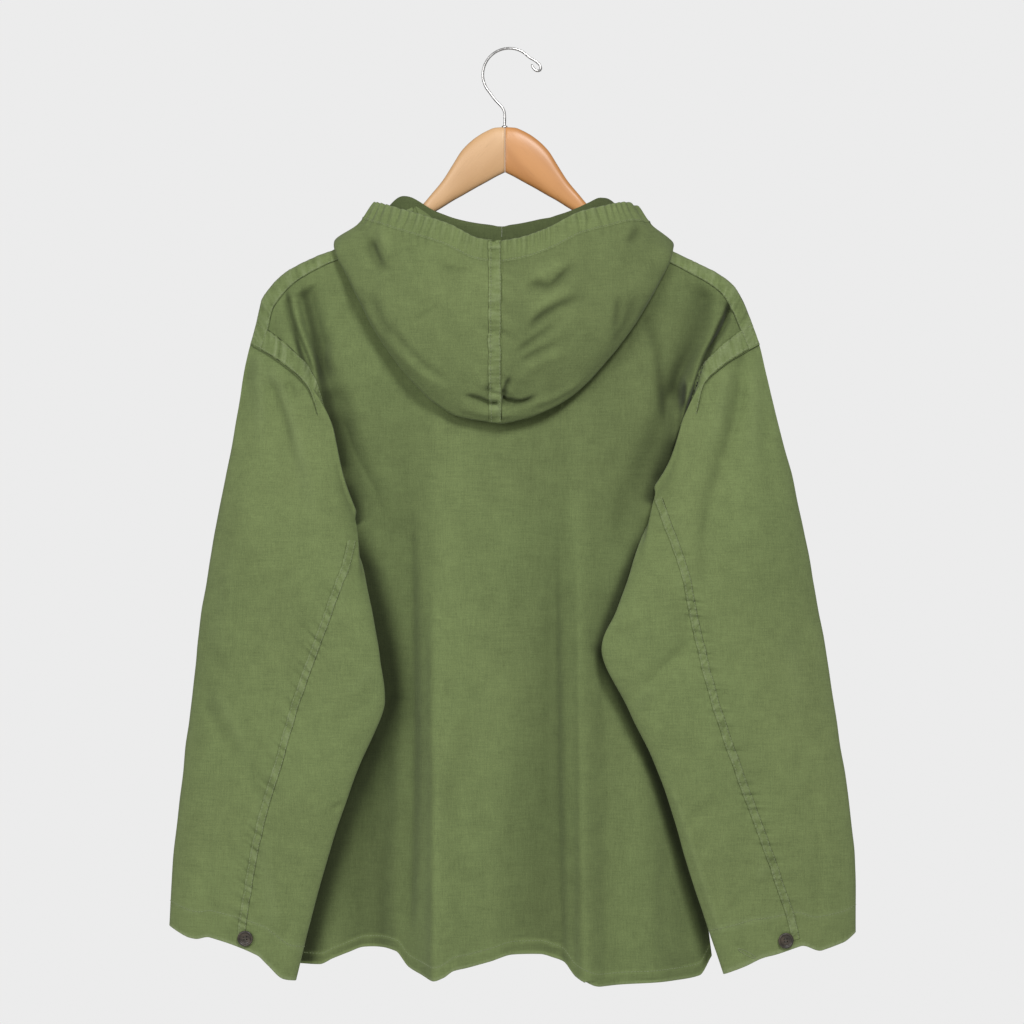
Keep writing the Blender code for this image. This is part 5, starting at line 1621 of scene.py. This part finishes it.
# Crease lines painted into the back's colour as dark shade, without shaping the cloth.
BACK_PAINTED_SHADOWS = (
    Crease(((209, -226), (206, -250), (201, -269), (197, -288), (187, -317), (176, -350)), (-0.4, -0.7), 2.4,
           2.6, (0.1, 0.2)),
    Crease(((195, -221), (192, -240), (185, -269), (180.5, -293), (176, -317), (171, -341), (163, -374),
            (154, -413)),
           (-0.35, -0.5), 3, 8, (0.1, 0.1)),
    Crease(((-215, -238), (-213, -251.5), (-206.4, -264), (-195, -293), (-185, -317), (-178, -341),
            (-171, -374)),
           (-0.8, -0.9), 2.8, 1.7, (0.05, 0.2)),
    Crease(((-188, -226), (-191, -240), (-185, -264), (-173, -293), (-162, -312), (-161, -326), (-166, -341)),
           (-0.15, -0.25), 9, 7, (0.2, 0.2)),
    Crease(((-172, -317), (-170, -346)), (-0.5, -0.5), 2, 2, (0.3, 0.3)),
    Crease(((-131, -257), (-141, -274), (-147, -307), (-150, -336), (-156, -374)), (-0.15, -0.2), 6, 5,
           (0.2, 0.3)),
    Crease(((158, -404), (151, -430), (145, -455)), (-0.3, -0.8), 4, 9, (0.4, 0.0)),
    Crease(((-172, -350), (-162, -380), (-150, -410), (-141, -440)), (-0.3, -0.7), 10, 4, (0.4, 0.1)),
)
FRONT_FOLDS = (
    Fold((112, -400), (128, -890), 30, 26, (-3, -18)),
    Fold((52, -420), (44, -890), 24, 30, (3, 13)),
    Fold((-4, -420), (-8, -890), 22, 26, (-2, -11)),
    Fold((-62, -400), (-72, -890), 26, 22, (3, 15)),
    Fold((-110, -400), (-132, -890), 24, 30, (-2, -14)),
    Fold((192, -236), (168, -340), 12, 12, (6, 12)),
    Fold((-190, -240), (-168, -335), 12, 12, (6, 12)),
)
FRONT_CREASES = (
    Crease(((198, -225), (188, -290), (172, -350), (160, -410)), (2.5, 5), 6, 4, (0.15, 0.3)),
    Crease(((212, -236), (198, -286), (182, -334)), (1.6, 4), 4, 4, (0.15, 0.25)),
    Crease(((-196, -226), (-186, -284), (-170, -346), (-160, -400)), (2.5, 5), 4, 6, (0.15, 0.3)),
    Crease(((-214, -240), (-200, -288), (-184, -340)), (1.8, 4.5), 4, 4, (0.15, 0.25)),
    Crease(((128, -250), (150, -280), (168, -300)), (1.2, 1.6), 7, 7, (0.2, 0.2)),
    Crease(((-120, -256), (-146, -290), (-152, -350)), (1.6, 2.2), 6, 7, (0.2, 0.3)),
    Crease(((96, -480), (104, -680), (100, -860)), (-0.9, -2.6), 8, 10, (0.3, 0.0)),
    Crease(((18, -440), (22, -660), (14, -860)), (-0.9, -2.2), 9, 12, (0.3, 0.0)),
    Crease(((-40, -460), (-36, -680), (-44, -860)), (1.0, 2.2), 9, 8, (0.3, 0.0)),
    Crease(((-98, -430), (-96, -650), (-104, -860)), (-1.0, -2.4), 8, 10, (0.3, 0.0)),
    Crease(((46, -300), (20, -360), (-10, -420)), (1.0, 1.2), 9, 9, (0.3, 0.3)),
    Crease(((-150, -640), (-140, -740), (-150, -850)), (1.2, 1.8), 8, 9, (0.3, 0.2)),
)
LEFT_SLEEVE_CREASES = (
    Crease(((237, -290), (235.5, -327), (232, -400)), (2.8, 1.2), 7, 6, (0.08, 0.5)),
    Crease(((249, -290), (252, -340), (254, -400)), (-1.4, -0.6), 5, 5, (0.2, 0.5)),
    Crease(((228, -300), (212, -338), (199, -378), (189, -420), (182, -470)), (2.8, 1.4), 6, 7, (0.08, 0.5)),
    Crease(((208, -318), (204, -330), (202, -342)), (-2.2, -0.9), 3.4, 3.4, (0.2, 0.4)),
    Crease(((224, -318), (210, -358), (200, -410)), (-2.0, -0.9), 6, 5, (0.1, 0.5)),
    Crease(((194, -338), (182, -376), (171, -420), (162, -462)), (-1.3, -1.0), 6, 6, (0.2, 0.3)),
    Crease(((293, -614), (269, -662), (254, -692)), (-1.8, -1.2), 6, 7, (0.3, 0.4)),
    Crease(((282, -606), (256, -652), (240, -690)), (1.3, 0.8), 7, 7, (0.3, 0.4)),
    Crease(((168, -727), (150, -718)), (-1.6, -1.2), 3, 4, (0.4, 0.3)),
    Crease(((124, -610), (150, -640), (186, -668)), (-1.5, -0.8), 8, 8, (0.2, 0.5)),
    Crease(((121, -588), (140, -610), (164, -622)), (1.2, 0.5), 7, 7, (0.2, 0.5)),
    Crease(((296, -560), (270, -590), (246, -600)), (-0.9, -0.5), 8, 8, (0.2, 0.5)),
    Crease(((236, -740), (226, -790), (214, -850)), (1.3, 1.0), 9, 7, (0.3, 0.2)),
    Crease(((282, -740), (286, -790), (280, -846)), (-1.2, -1.0), 9, 8, (0.3, 0.2)),
    Crease(((190, -760), (200, -810), (212, -866)), (-1.0, -1.2), 7, 8, (0.3, 0.2)),
    Crease(((150, -480), (156, -520), (150, -560)), (1.0, 0.6), 7, 7, (0.3, 0.4)),
    Crease(((146, -470), (160.5, -520), (179, -571), (198, -624), (213.5, -677), (232, -739), (243.5, -797),
            (251, -850)), (1.3, 1.3), 10, 7, (0.03, 0.03), 6.0),
    Crease(((262, -470), (272, -540), (276, -610)), (1.0, 0.7), 12, 10, (0.3, 0.4)),
)
RIGHT_SLEEVE_CREASES = (
    Crease(((-227, -284), (-224, -340), (-208, -396), (-190, -460), (-190, -530)), (-2.8, -2.0), 7, 5,
           (0.06, 0.35)),
    Crease(((-214, -300), (-206, -350), (-194, -400)), (1.5, 0.9), 8, 7, (0.15, 0.5)),
    Crease(((-240, -300), (-240, -360), (-236, -430)), (1.4, 0.8), 7, 6, (0.15, 0.5)),
    Crease(((-250, -330), (-254, -400), (-262, -480)), (-0.9, -0.6), 7, 7, (0.3, 0.4)),
    Crease(((-184, -560), (-158, -584), (-132, -612)), (-1.8, -1.6), 6, 8, (0.35, 0.15)),
    Crease(((-176, -578), (-146, -602), (-122, -636)), (1.2, 1.0), 7, 7, (0.3, 0.2)),
    Crease(((-92, -566), (-116, -556), (-150, -548)), (-1.5, -0.7), 7, 7, (0.1, 0.5)),
    Crease(((-202, -715), (-184, -732), (-166, -750)), (-1.6, -1.2), 6, 6, (0.3, 0.3)),
    Crease(((-245, -787), (-228, -808), (-208, -832)), (-2.0, -1.4), 6, 6, (0.3, 0.3)),
    Crease(((-252, -770), (-238, -796), (-222, -818)), (1.4, 1.0), 6, 6, (0.3, 0.3)),
    Crease(((-136, -716), (-150, -740), (-162, -762)), (-1.2, -1.0), 5, 6, (0.3, 0.3)),
    Crease(((-156, -700), (-180, -772), (-206, -850)), (1.5, 1.5), 4, 3, (0.1, 0.1)),
    Crease(((-290, -700), (-300, -770), (-296, -840)), (-1.2, -0.9), 9, 8, (0.3, 0.2)),
    Crease(((-262, -540), (-278, -600), (-290, -660)), (1.0, 0.8), 11, 11, (0.3, 0.4)),
    Crease(((-316, -640), (-296, -664), (-270, -676)), (-0.9, -0.5), 7, 8, (0.2, 0.5)),
    Crease(((-220, -850), (-224, -868)), (-1.0, -1.0), 5, 5, (0.3, 0.3)),
    Crease(((-146, -432), (-168, -494), (-187.5, -581), (-213.5, -667), (-244, -749), (-276.5, -850)),
           (1.3, 1.3), 7, 10, (0.03, 0.03), 6.0),
)
SLEEVE_FRONT_CREASES = (
    Crease(((226, -300), (216, -350), (200, -410)), (2.0, 1.0), 6, 6, (0.1, 0.5)),
    Crease(((212, -310), (200, -356), (186, -420)), (-2.0, -1.0), 5, 6, (0.1, 0.5)),
    Crease(((150, -590), (180, -622), (214, -640)), (-1.5, -0.8), 8, 8, (0.2, 0.5)),
    Crease(((292, -600), (266, -640), (246, -664)), (-1.5, -0.8), 7, 7, (0.2, 0.5)),
    Crease(((240, -750), (236, -800), (228, -850)), (1.2, 1.0), 9, 8, (0.3, 0.2)),
    Crease(((284, -730), (288, -780), (282, -840)), (-1.1, -0.9), 8, 8, (0.3, 0.2)),
)
HOOD_CREASES = {
    Side.LEFT: (
        Crease(((131, -180), (124, -200), (116, -212), (104, -216)), (-3.4, -1.6), 6, 5, (0.3, 0.45)),
        Crease(((118, -170), (113, -192), (104, -204)), (1.6, 1.0), 5, 5, (0.3, 0.4)),
        Crease(((66, -213), (44, -216), (24, -214)), (-0.9, -0.7), 4, 4, (0.3, 0.3)),
        Crease(((88, -265), (74, -256), (60, -247)), (-0.8, -0.5), 3, 3, (0.3, 0.3)),
        Crease(((112, -262), (92, -292), (70, -312), (46, -324)), (-1.4, -1.2), 5, 5, (0.3, 0.3)),
        Crease(((104, -284), (78, -310), (50, -330)), (1.0, 1.0), 5, 5, (0.3, 0.3)),
        Crease(((130, -232), (118, -262), (104, -286)), (-1.2, -1.0), 6, 6, (0.3, 0.3)),
        Crease(((42, -333), (26, -337), (14, -342), (6, -342)), (-1.5, -4.5), 2.4, 3.0, (0.3, 0.0)),
        Crease(((46, -344), (28, -350), (8, -352)), (1.0, 2.2), 5, 4, (0.3, 0.0)),
        Crease(((16, -320), (15, -330), (16, -338)), (-2.0, -2.0), 2.6, 2.2, (0.4, 0.2)),
        Crease(((30, -300), (22, -318), (20, -332)), (0.9, 1.2), 5, 4, (0.4, 0.2)),
        Crease(((96, -226), (70, -236), (40, -238)), (0.8, 0.6), 12, 12, (0.4, 0.4)),
        Crease(((9.6, -205), (9.8, -240), (9.8, -310), (9.6, -352)), (0.9, 0.9), 12, 8, (0.02, 0.02), 7.5),
    ),
    Side.RIGHT: (
        Crease(((-16, -234), (-30, -229), (-42, -231), (-56, -219), (-70, -207)), (-1.8, -1.6), 3, 5,
               (0.3, 0.35)),
        Crease(((-18, -222), (-40, -218), (-62, -204)), (1.0, 1.2), 6, 6, (0.3, 0.4)),
        Crease(((-22, -276), (-30, -264), (-44, -254), (-84, -238)), (-2.0, -1.2), 4, 4, (0.25, 0.4)),
        Crease(((-20, -264), (-40, -246), (-78, -228)), (1.2, 0.8), 6, 6, (0.3, 0.4)),
        Crease(((-8, -296), (-30, -280), (-56, -262)), (-1.4, -0.9), 3.5, 3.5, (0.25, 0.4)),
        Crease(((-12, -304), (-34, -292), (-58, -281)), (-1.3, -0.8), 3.5, 3.5, (0.25, 0.4)),
        Crease(((-10, -316), (-40, -300), (-70, -288)), (0.9, 0.6), 5, 5, (0.3, 0.4)),
        Crease(((-107, -236), (-108, -256), (-104, -276)), (-1.3, -1.0), 4, 4, (0.35, 0.35)),
        Crease(((-126, -232), (-118, -262), (-100, -292)), (-1.1, -1.0), 6, 6, (0.3, 0.3)),
        Crease(((2, -338), (-14, -341), (-34, -333)), (-5.0, -1.6), 2.4, 3.0, (0.0, 0.35)),
        Crease(((4, -352), (-16, -352), (-36, -346)), (2.2, 1.2), 4, 4, (0.0, 0.3)),
        Crease(((2, -337), (-1, -326), (-7, -314)), (-3.0, -1.5), 2.2, 2.6, (0.0, 0.4)),
        Crease(((-32, -352), (-60, -338), (-92, -310)), (-1.6, -1.2), 3, 3, (0.3, 0.3)),
        Crease(((-14, -343), (-46, -336), (-82, -314)), (1.2, 1.2), 4, 4, (0.3, 0.3)),
        Crease(((-130, -170), (-122, -184), (-112, -190)), (-1.5, -1.0), 5, 5, (0.3, 0.4)),
        Crease(((2, -205), (2, -240), (2, -310), (2, -352)), (0.9, 0.9), 4, 9, (0.02, 0.02), 7.5),
    ),
}
LEFT_SECTIONS = (
    (0.00, 244.5, -283, 147, -461, 0, 5, 24), (0.02, 247.5, -294, 147.5, -467, 0, 6.8, 23),
    (0.05, 251.5, -312, 144, -478, 0, 11, 22), (0.12, 258, -355, 136, -499, 0, 20, 22),
    (0.23, 268.5, -413, 127, -537, 1, 33, 22), (0.36, 283, -489, 118, -581, 2, 41, 21),
    (0.49, 294.5, -566, 113, -621, 3, 43, 20), (0.63, 303, -643, 137, -681, 4, 40, 20),
    (0.77, 311.5, -720, 158, -739, 5, 34, 19), (0.88, 318, -777, 178, -806, 6, 28, 18),
    (1.00, 321.5, -839, 199, -889.5, 7, 22, 16))
RIGHT_SECTIONS = (
    (0.00, -244.5, -283, -146, -430, 0, 5, 24), (0.02, -247.5, -294, -146.5, -436, 0, 6.8, 23),
    (0.05, -251.5, -312, -142, -448, 0, 11, 22), (0.12, -262, -355, -131, -470, 0, 20, 22),
    (0.23, -276.5, -413, -118, -504, 1, 33, 22), (0.36, -292, -489, -105, -537, 2, 43, 21),
    (0.49, -306, -566, -91.5, -574, 3, 46, 20), (0.63, -318, -643, -118, -633, 4, 42, 20),
    (0.77, -329.5, -720, -149, -700, 5, 35, 19), (0.88, -335, -777, -173, -777, 6, 28, 18),
    (1.00, -336, -845.5, -208, -884, 7, 22, 16))
LEFT_HOOD = (
    (0, 3, 17, -171, 3, 33, -360, 3, 62, -275, 3, 57, -188, 5, 3),
    (15, 27, 17, -168, 47, 33, -352, 38, 61, -266, 27, 56, -185, 5, 3),
    (30, 49, 15, -163, 81, 32, -327, 67, 57, -248, 50, 54, -173, 5, 3),
    (45, 70, 12, -155, 107, 30, -296, 91, 51, -229, 72, 49, -165, 5, 3),
    (60, 84, 11.5, -146, 129, 26, -262, 111, 44, -209, 94, 40, -158, 4.5, 3),
    (75, 93, 7, -141.5, 149, 19, -221, 129, 32, -187, 114, 27, -151, 3.5, 2.5),
    (83, 98, 3, -140.5, 159, 13, -201, 136, 23, -176.5, 120, 18, -149, 3, 2.5),
    (90, 99, 0, -141, 162, 0, -187.8, 141, 12, -168, 124.5, 8, -147.5, 1.6, 3),
    (97, 92, -13, -142, 160, -13, -195, 140, -4, -169.5, 125, -4, -150, 3, 2.5),
    (105, 81, -20, -155, 152, -21, -207, 131, -20, -179, 119, -18, -156, 3.5, 2.5),
    (120, 64, -24.5, -177, 130, -30, -228, 113, -38, -198, 98, -34, -172, 4, 2),
    (150, 32, -28, -215, 68, -40, -272, 57, -49, -244, 48, -46, -216, 4, 1),
    (180, 0, -29, -232, 0, -43, -290, 0, -53, -262, 0, -50, -234, 4, 1))
RIGHT_HOOD = (
    (0, 3, 17, -171, 3, 33, -360, 3, 62, -275, 3, 57, -188, 5, 3),
    (15, -18, 17, -167, -26, 33, -353, -22, 61, -268, -18, 56, -184, 5, 3),
    (30, -42, 15, -162, -62, 32, -335, -52, 57, -252, -44, 54, -174, 5, 3),
    (45, -64, 12, -155, -94, 30, -304, -80, 51, -233, -68, 49, -161, 5, 3),
    (60, -82, 11.5, -147, -124, 26, -265, -106, 44, -208, -92, 40, -154, 4.5, 3),
    (75, -92, 7, -142.5, -146, 19, -226, -127, 32, -184.5, -112, 27, -149, 3.5, 2.5),
    (83, -97, 3, -142.5, -156, 13, -205, -135, 23, -177.5, -120, 18, -149, 3, 2.5),
    (90, -98, 0, -142.5, -160, 0, -190, -140.5, 12, -170, -126.5, 8, -151.5, 1.5, 3),
    (97, -92, -13.8, -142.5, -158, -13, -197, -140, -4, -171.5, -125.5, -4, -153.5, 3, 2.5),
    (105, -81, -20, -155, -150, -21, -209, -131, -20, -181, -119, -18, -158, 3.5, 2.5),
    (120, -64, -24.5, -177, -130, -30, -228, -113, -38, -198, -98, -34, -172, 4, 2),
    (150, -32, -28, -215, -68, -40, -272, -57, -49, -244, -48, -46, -216, 4, 1),
    (180, 0, -29, -232, 0, -43, -290, 0, -53, -262, 0, -50, -234, 4, 1))


def dress(piece: bpy.types.Object, slot: str, *nodes: str) -> bpy.types.Object:
    """Lets a piece ride on the frame and stand for its solids.

    Args:
        piece: What was made.
        slot: Its material slot; not used.
        nodes: The solids that it replaces, if any.

    Returns:
        The piece.
    """
    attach(piece, "root")
    if nodes:
        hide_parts(*nodes)
    LOG.info("%s: %d faces", piece.name, len(piece.data.polygons))
    return piece


class Overshirt:
    """The garment: its panels, sleeves and hood, and the sewing that joins them."""

    def __init__(self) -> None:
        """Makes the finishes and the flat plan of every piece."""
        self.cotton = CottonFinish("olive_cotton_cloth").build()
        self.thread = ThreadFinish("olive_thread", (0.190, 0.232, 0.105)).build()
        self.button = ButtonFinish("dark_button_finish").build()
        self.button_thread = ThreadFinish("dark_thread", (0.05, 0.05, 0.04)).build()
        self.cut = Cut()
        self.stitching = Stitching()
        self.back = Panel(
            self.cut, Face.BACK,
            ((0, 11), (0.007, 12.5), (0.03, 14.5), (0.06, 15.5), (0.15, 17), (0.3, 19), (0.6, 24), (1, 30)),
            ((-199, -870), (-187, -888), (-172, -890), (-139, -891), (-91, -893), (-78, -889), (-67, -884),
            (-56, -871.5), (-46, -868), (-33, -865), (-8, -864.5), (15, -870.5), (35, -875), (48, -877),
            (58, -883), (68, -886), (80, -882), (92, -876.5), (105, -862.5), (118, -860.5), (135, -861),
            (151, -866), (165, -871), (178, -876.5), (212, -876)),
            BACK_FOLDS, BACK_CREASES, (0.14, 0.26), 11, sleeves=(LEFT_SECTIONS, RIGHT_SECTIONS),
            painted_shadows=BACK_PAINTED_SHADOWS)
        self.front = Panel(
            self.cut, Face.FRONT,
            ((0, -22), (0.007, -22.5), (0.03, -23), (0.06, -23.5), (0.15, -24), (0.3, -26), (0.6, -32),
             (1, -38)),
            ((-199, -870), (-150, -859), (-95, -846), (-30, -853), (30, -846), (95, -854), (150, -852),
             (212, -876)),
            FRONT_FOLDS, FRONT_CREASES, (0.02, 0.17), 21)
        both = (self.back, self.front)
        mirrored = tuple(Crease(tuple((-x, z) for x, z in crease.path), crease.depth, crease.right,
                                crease.left,
                                crease.fade) for crease in SLEEVE_FRONT_CREASES)
        self.left_sleeve = Sleeve(
            Side.LEFT, both, LEFT_SECTIONS,
            ((0, 0), (0.14, 1.8), (0.21, 0.2), (0.33, -7.7), (0.6, -10.6), (0.7, -10), (0.78, -5), (0.9, 2.6),
             (1, 0)),
            (Fold((214, -330), (224, -470), 12, 12, (-4, -1)),
             Fold((262, -640), (232, -720), 14, 12, (-1, -4)),
             Fold((250, -450), (268, -640), 16, 20, (3, 2))), LEFT_SLEEVE_CREASES, SLEEVE_FRONT_CREASES, 31)
        self.right_sleeve = Sleeve(
            Side.RIGHT, both, RIGHT_SECTIONS,
            ((0, 0), (0.1, 4.6), (0.26, 5), (0.43, -6), (0.6, -5.4), (0.7, -6), (0.85, -2.7), (1, -0.5)),
            (Fold((-226, -330), (-194, -500), 13, 11, (-4, -5)),
             Fold((-178, -556), (-140, -622), 12, 12, (-4, -3)),
             Fold((-240, -700), (-226, -800), 14, 14, (-2, -4))), RIGHT_SLEEVE_CREASES, mirrored, 36)
        gathers = Gathers()
        self.hoods = [HoodHalf(Side.LEFT, self.cut, both, LEFT_HOOD, HOOD_CREASES[Side.LEFT], gathers, 51),
                      HoodHalf(Side.RIGHT, self.cut, both, RIGHT_HOOD, HOOD_CREASES[Side.RIGHT], gathers, 56)]

    def body(self) -> None:
        """The back and front panels, with their hem stitches."""
        for panel, name, node, columns, rows, cut in ((self.back, "back_cloth", "back_panel", 300, 236,
                                                       (0.60, 0.76)),
                                                      (self.front, "front_cloth", "front_panel", 160, 130,
                                                       (0.60, 0.74))):
            cloth = panel.cloth(columns, rows)
            made = dress(cloth.build(name, self.cotton), "olive_cotton", node)
            0.78 * cut[0] * cut[1]
            u = np.linspace(0.004, 0.996, 400)
            line = panel.surface(u, np.full(400, 1 - panel.hem_depth / panel.drop))
            self.stitching.run(line, np.broadcast_to((0.0, float(panel.face.value), 0.0), line.shape))

    def sleeves(self) -> tuple[Drape, Drape]:
        """The two sleeves with their cuff stitches, their long felled seams and their buttons.

        Returns:
            The two sleeves as cloths to lay things on.
        """
        drapes = []
        places = {Side.LEFT: (246.5, -848.5), Side.RIGHT: (-266.5, -850.5)}
        seams = {
            Side.LEFT: ((146, -470), (152, -496), (160.5, -520), (179, -571), (198, -624), (213.5, -677),
                        (232, -739), (243.5, -797), (250, -838), (251, -850)),
            Side.RIGHT: ((-146, -430), (-156.5, -461), (-168, -494), (-178, -538), (-187.5, -581),
                         (-199, -624),
                         (-213.5, -667), (-229, -710), (-244, -749), (-259, -792), (-273, -835),
                         (-276.5, -850))}
        for sleeve, word in ((self.left_sleeve, "left"), (self.right_sleeve, "right")):
            cloth = sleeve.cloth(162, 62, 356)
            made = dress(cloth.build(f"sleeve_cloth_{word}", self.cotton), "olive_cotton", f"sleeve_{word}")
            drape = Drape(cloth.tree(), Face.BACK)
            drapes.append(drape)
            turn = np.linspace(0, 2 * np.pi, 520)
            line = sleeve.surface(np.full(520, 1 - sleeve.cuff_hem / sleeve.length), turn)
            out = np.stack([0.3 * np.cos(turn) * sleeve.side.value, np.sin(turn), turn * 0], axis=-1)
            self.stitching.run(line, unit(out))
            sign = sleeve.side.value
            dress(Felled(f"sleeve_seam_{word}", seams[sleeve.side],
                               (-4.0, 4.0), slant=0.5 * sign, seed=70 + sign)
                        .build(drape, self.stitching, self.cotton), "olive_cotton")
            self._button(drape, np.array(places[sleeve.side]), word)
            self._buttonhole(drape, sleeve.side, word)
        return drapes[0], drapes[1]

    def _button(self, drape: Drape, place: Array, word: str) -> None:
        """One cuff button, square to the cloth at its place."""
        around = drape.lay(place + np.array([(0, 0), (7, 0), (-7, 0), (0, 7), (0, -7)]))
        out = unit(np.cross(around[1] - around[2], around[4] - around[3]))
        out = out * (1 if out[1] > 0 else -1)
        for piece in CuffButton().build(f"cuff_button_face_{word}", around[0] + 0.9 * out, out, self.button,
                                        self.button_thread):
            nodes = (f"cuff_button_{word}",) if not piece.name.endswith("thread") else ()
            dress(piece, "dark_button", *nodes)

    def _buttonhole(self, drape: Drape, side: Side, word: str) -> None:
        """The worked buttonhole beside the cuff's edge: a tight oval of thread."""
        if side is Side.LEFT:
            return
        angle = np.linspace(0, 2 * np.pi, 60)
        centre, lean = np.array((-230.0, -863.0)), math.radians(27)
        long_, short = 9.0 * np.cos(angle), 1.7 * np.sin(angle)
        xz = centre + np.stack([long_ * math.cos(lean) - short * math.sin(lean),
                                long_ * math.sin(lean) + short * math.cos(lean)], axis=-1)
        line = drape.lay(xz)
        hole = Stitching(length=2.4, pitch=0.8, width=0.3, seed=9)
        hole.run(line, np.broadcast_to((0.0, 1.0, 0.0), line.shape))
        dress(hole.build(f"buttonhole_{word}", self.thread), "olive_cotton")

    def hood(self) -> None:
        """The two halves of the hood, their casings and the felled seam down the middle."""
        drape = None
        for half, word in zip(self.hoods, ("left", "right")):
            cloth, casing = half.pieces(260, 170)
            made = dress(cloth.build(f"hood_cloth_{word}", self.cotton), "olive_cotton", f"hood_{word}")
            edge = dress(casing.build(f"casing_cloth_{word}", self.cotton), "olive_cotton",
                               f"hood_casing_{word}")
            out = casing.normals()
            self.stitching.run(casing.points[1], out[1])
            if half.side is Side.LEFT:
                both = np.concatenate([cloth.points[len(cloth.points) // 2:], casing.points[:14]])
                drape = Drape(Cloth(both, both[..., 0]).tree(), Face.BACK)
        path = ((9.6, -187), (9.8, -210), (9.6, -240), (10.0, -280), (9.8, -310), (9.4, -335), (9.6, -358))
        seam = Felled("hood_middle_seam", path, (-6.2, 6.2), pucker=0.95, seed=80)
        dress(seam.build(drape, self.stitching, self.cotton), "olive_cotton")

    def seams(self) -> None:
        """The felled seams along the shoulders and round the armholes, on the back and on the front."""
        share = BAND_SHARES
        for panel in (self.back, self.front):
            where = "back" if panel.face is Face.BACK else "front"
            for side, word in ((Side.LEFT, "left"), (Side.RIGHT, "right")):
                u = np.linspace(0.001, 0.335, 170)
                u = u if side is Side.LEFT else 1 - u
                along, down = np.meshgrid(u, (0.2 + 12.5 * share) / 660, indexing="ij")
                self._band(f"shoulder_seam_{word}_{where}", panel, along, down, share, 90 + side.value)
                v = np.linspace(0.001, 0.152, 120)
                down, across = np.meshgrid(v, share, indexing="ij")
                along = (0.2 + across * (11.0 - 3.5 * ease(0.06, 0.15, down))) / 300
                along = along if side is Side.LEFT else 1 - along
                self._band(f"armhole_seam_{word}_{where}", panel, along, down, share, 94 + side.value)

    def _band(self, name: str, panel: Panel, u: Array, v: Array, share: Array, seed: int) -> None:
        """A felled band over a panel, at a grid of its own shares."""
        base = panel.surface(u, v)
        base[..., 1] += panel.face.value * 0.25
        reached = np.concatenate([[0], np.cumsum(np.linalg.norm(np.diff(base[:, 5], axis=0), axis=1))])
        felled = Felled(name, (), (0, 1), lift=0.8, pucker=0.65, rows=(0.10, 0.90), slant=0.7, seed=seed)
        dress(felled.over(base, reached, share, panel.face, self.stitching, self.cotton), "olive_cotton")

    def finish(self) -> None:
        """All the stitches of the garment, as one piece of thread."""
        LOG.info("%d stitches", self.stitching.count)
        dress(self.stitching.build("garment_stitches", self.thread), "olive_cotton")


def dress_hanger() -> None:
    """The hanger's two arms, its wire hook and the socket of the wire."""
    hanger = Hanger()
    left = WoodFinish("left_arm_wood", math.radians(-48), (0.67, 0.42, 0.218), (0.51, 0.29, 0.13)).build()
    right = WoodFinish("right_arm_wood", math.radians(48), (0.67, 0.325, 0.115), (0.49, 0.215, 0.066)).build()
    wire = WireFinish("bright_wire").build()
    dress(hanger.arm("arm_wood_left", Side.LEFT, left), "beech", "hanger_arm_left")
    dress(hanger.arm("arm_wood_right", Side.RIGHT, right), "beech", "hanger_arm_right")
    dress(hanger.hook(wire), "steel_wire", "hanger_hook")
    dress(hanger.ferrule(wire), "steel_wire")


def main() -> None:
    """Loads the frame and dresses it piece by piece."""
    logging.basicConfig(level=logging.INFO, format="%(name)s: %(message)s")
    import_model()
    Studio().build(FloorFinish("pale_floor").build())
    shirt = Overshirt()
    shirt.body()
    shirt.sleeves()
    shirt.hood()
    shirt.seams()
    shirt.finish()
    dress_hanger()


if __name__ == "__main__":
    main()
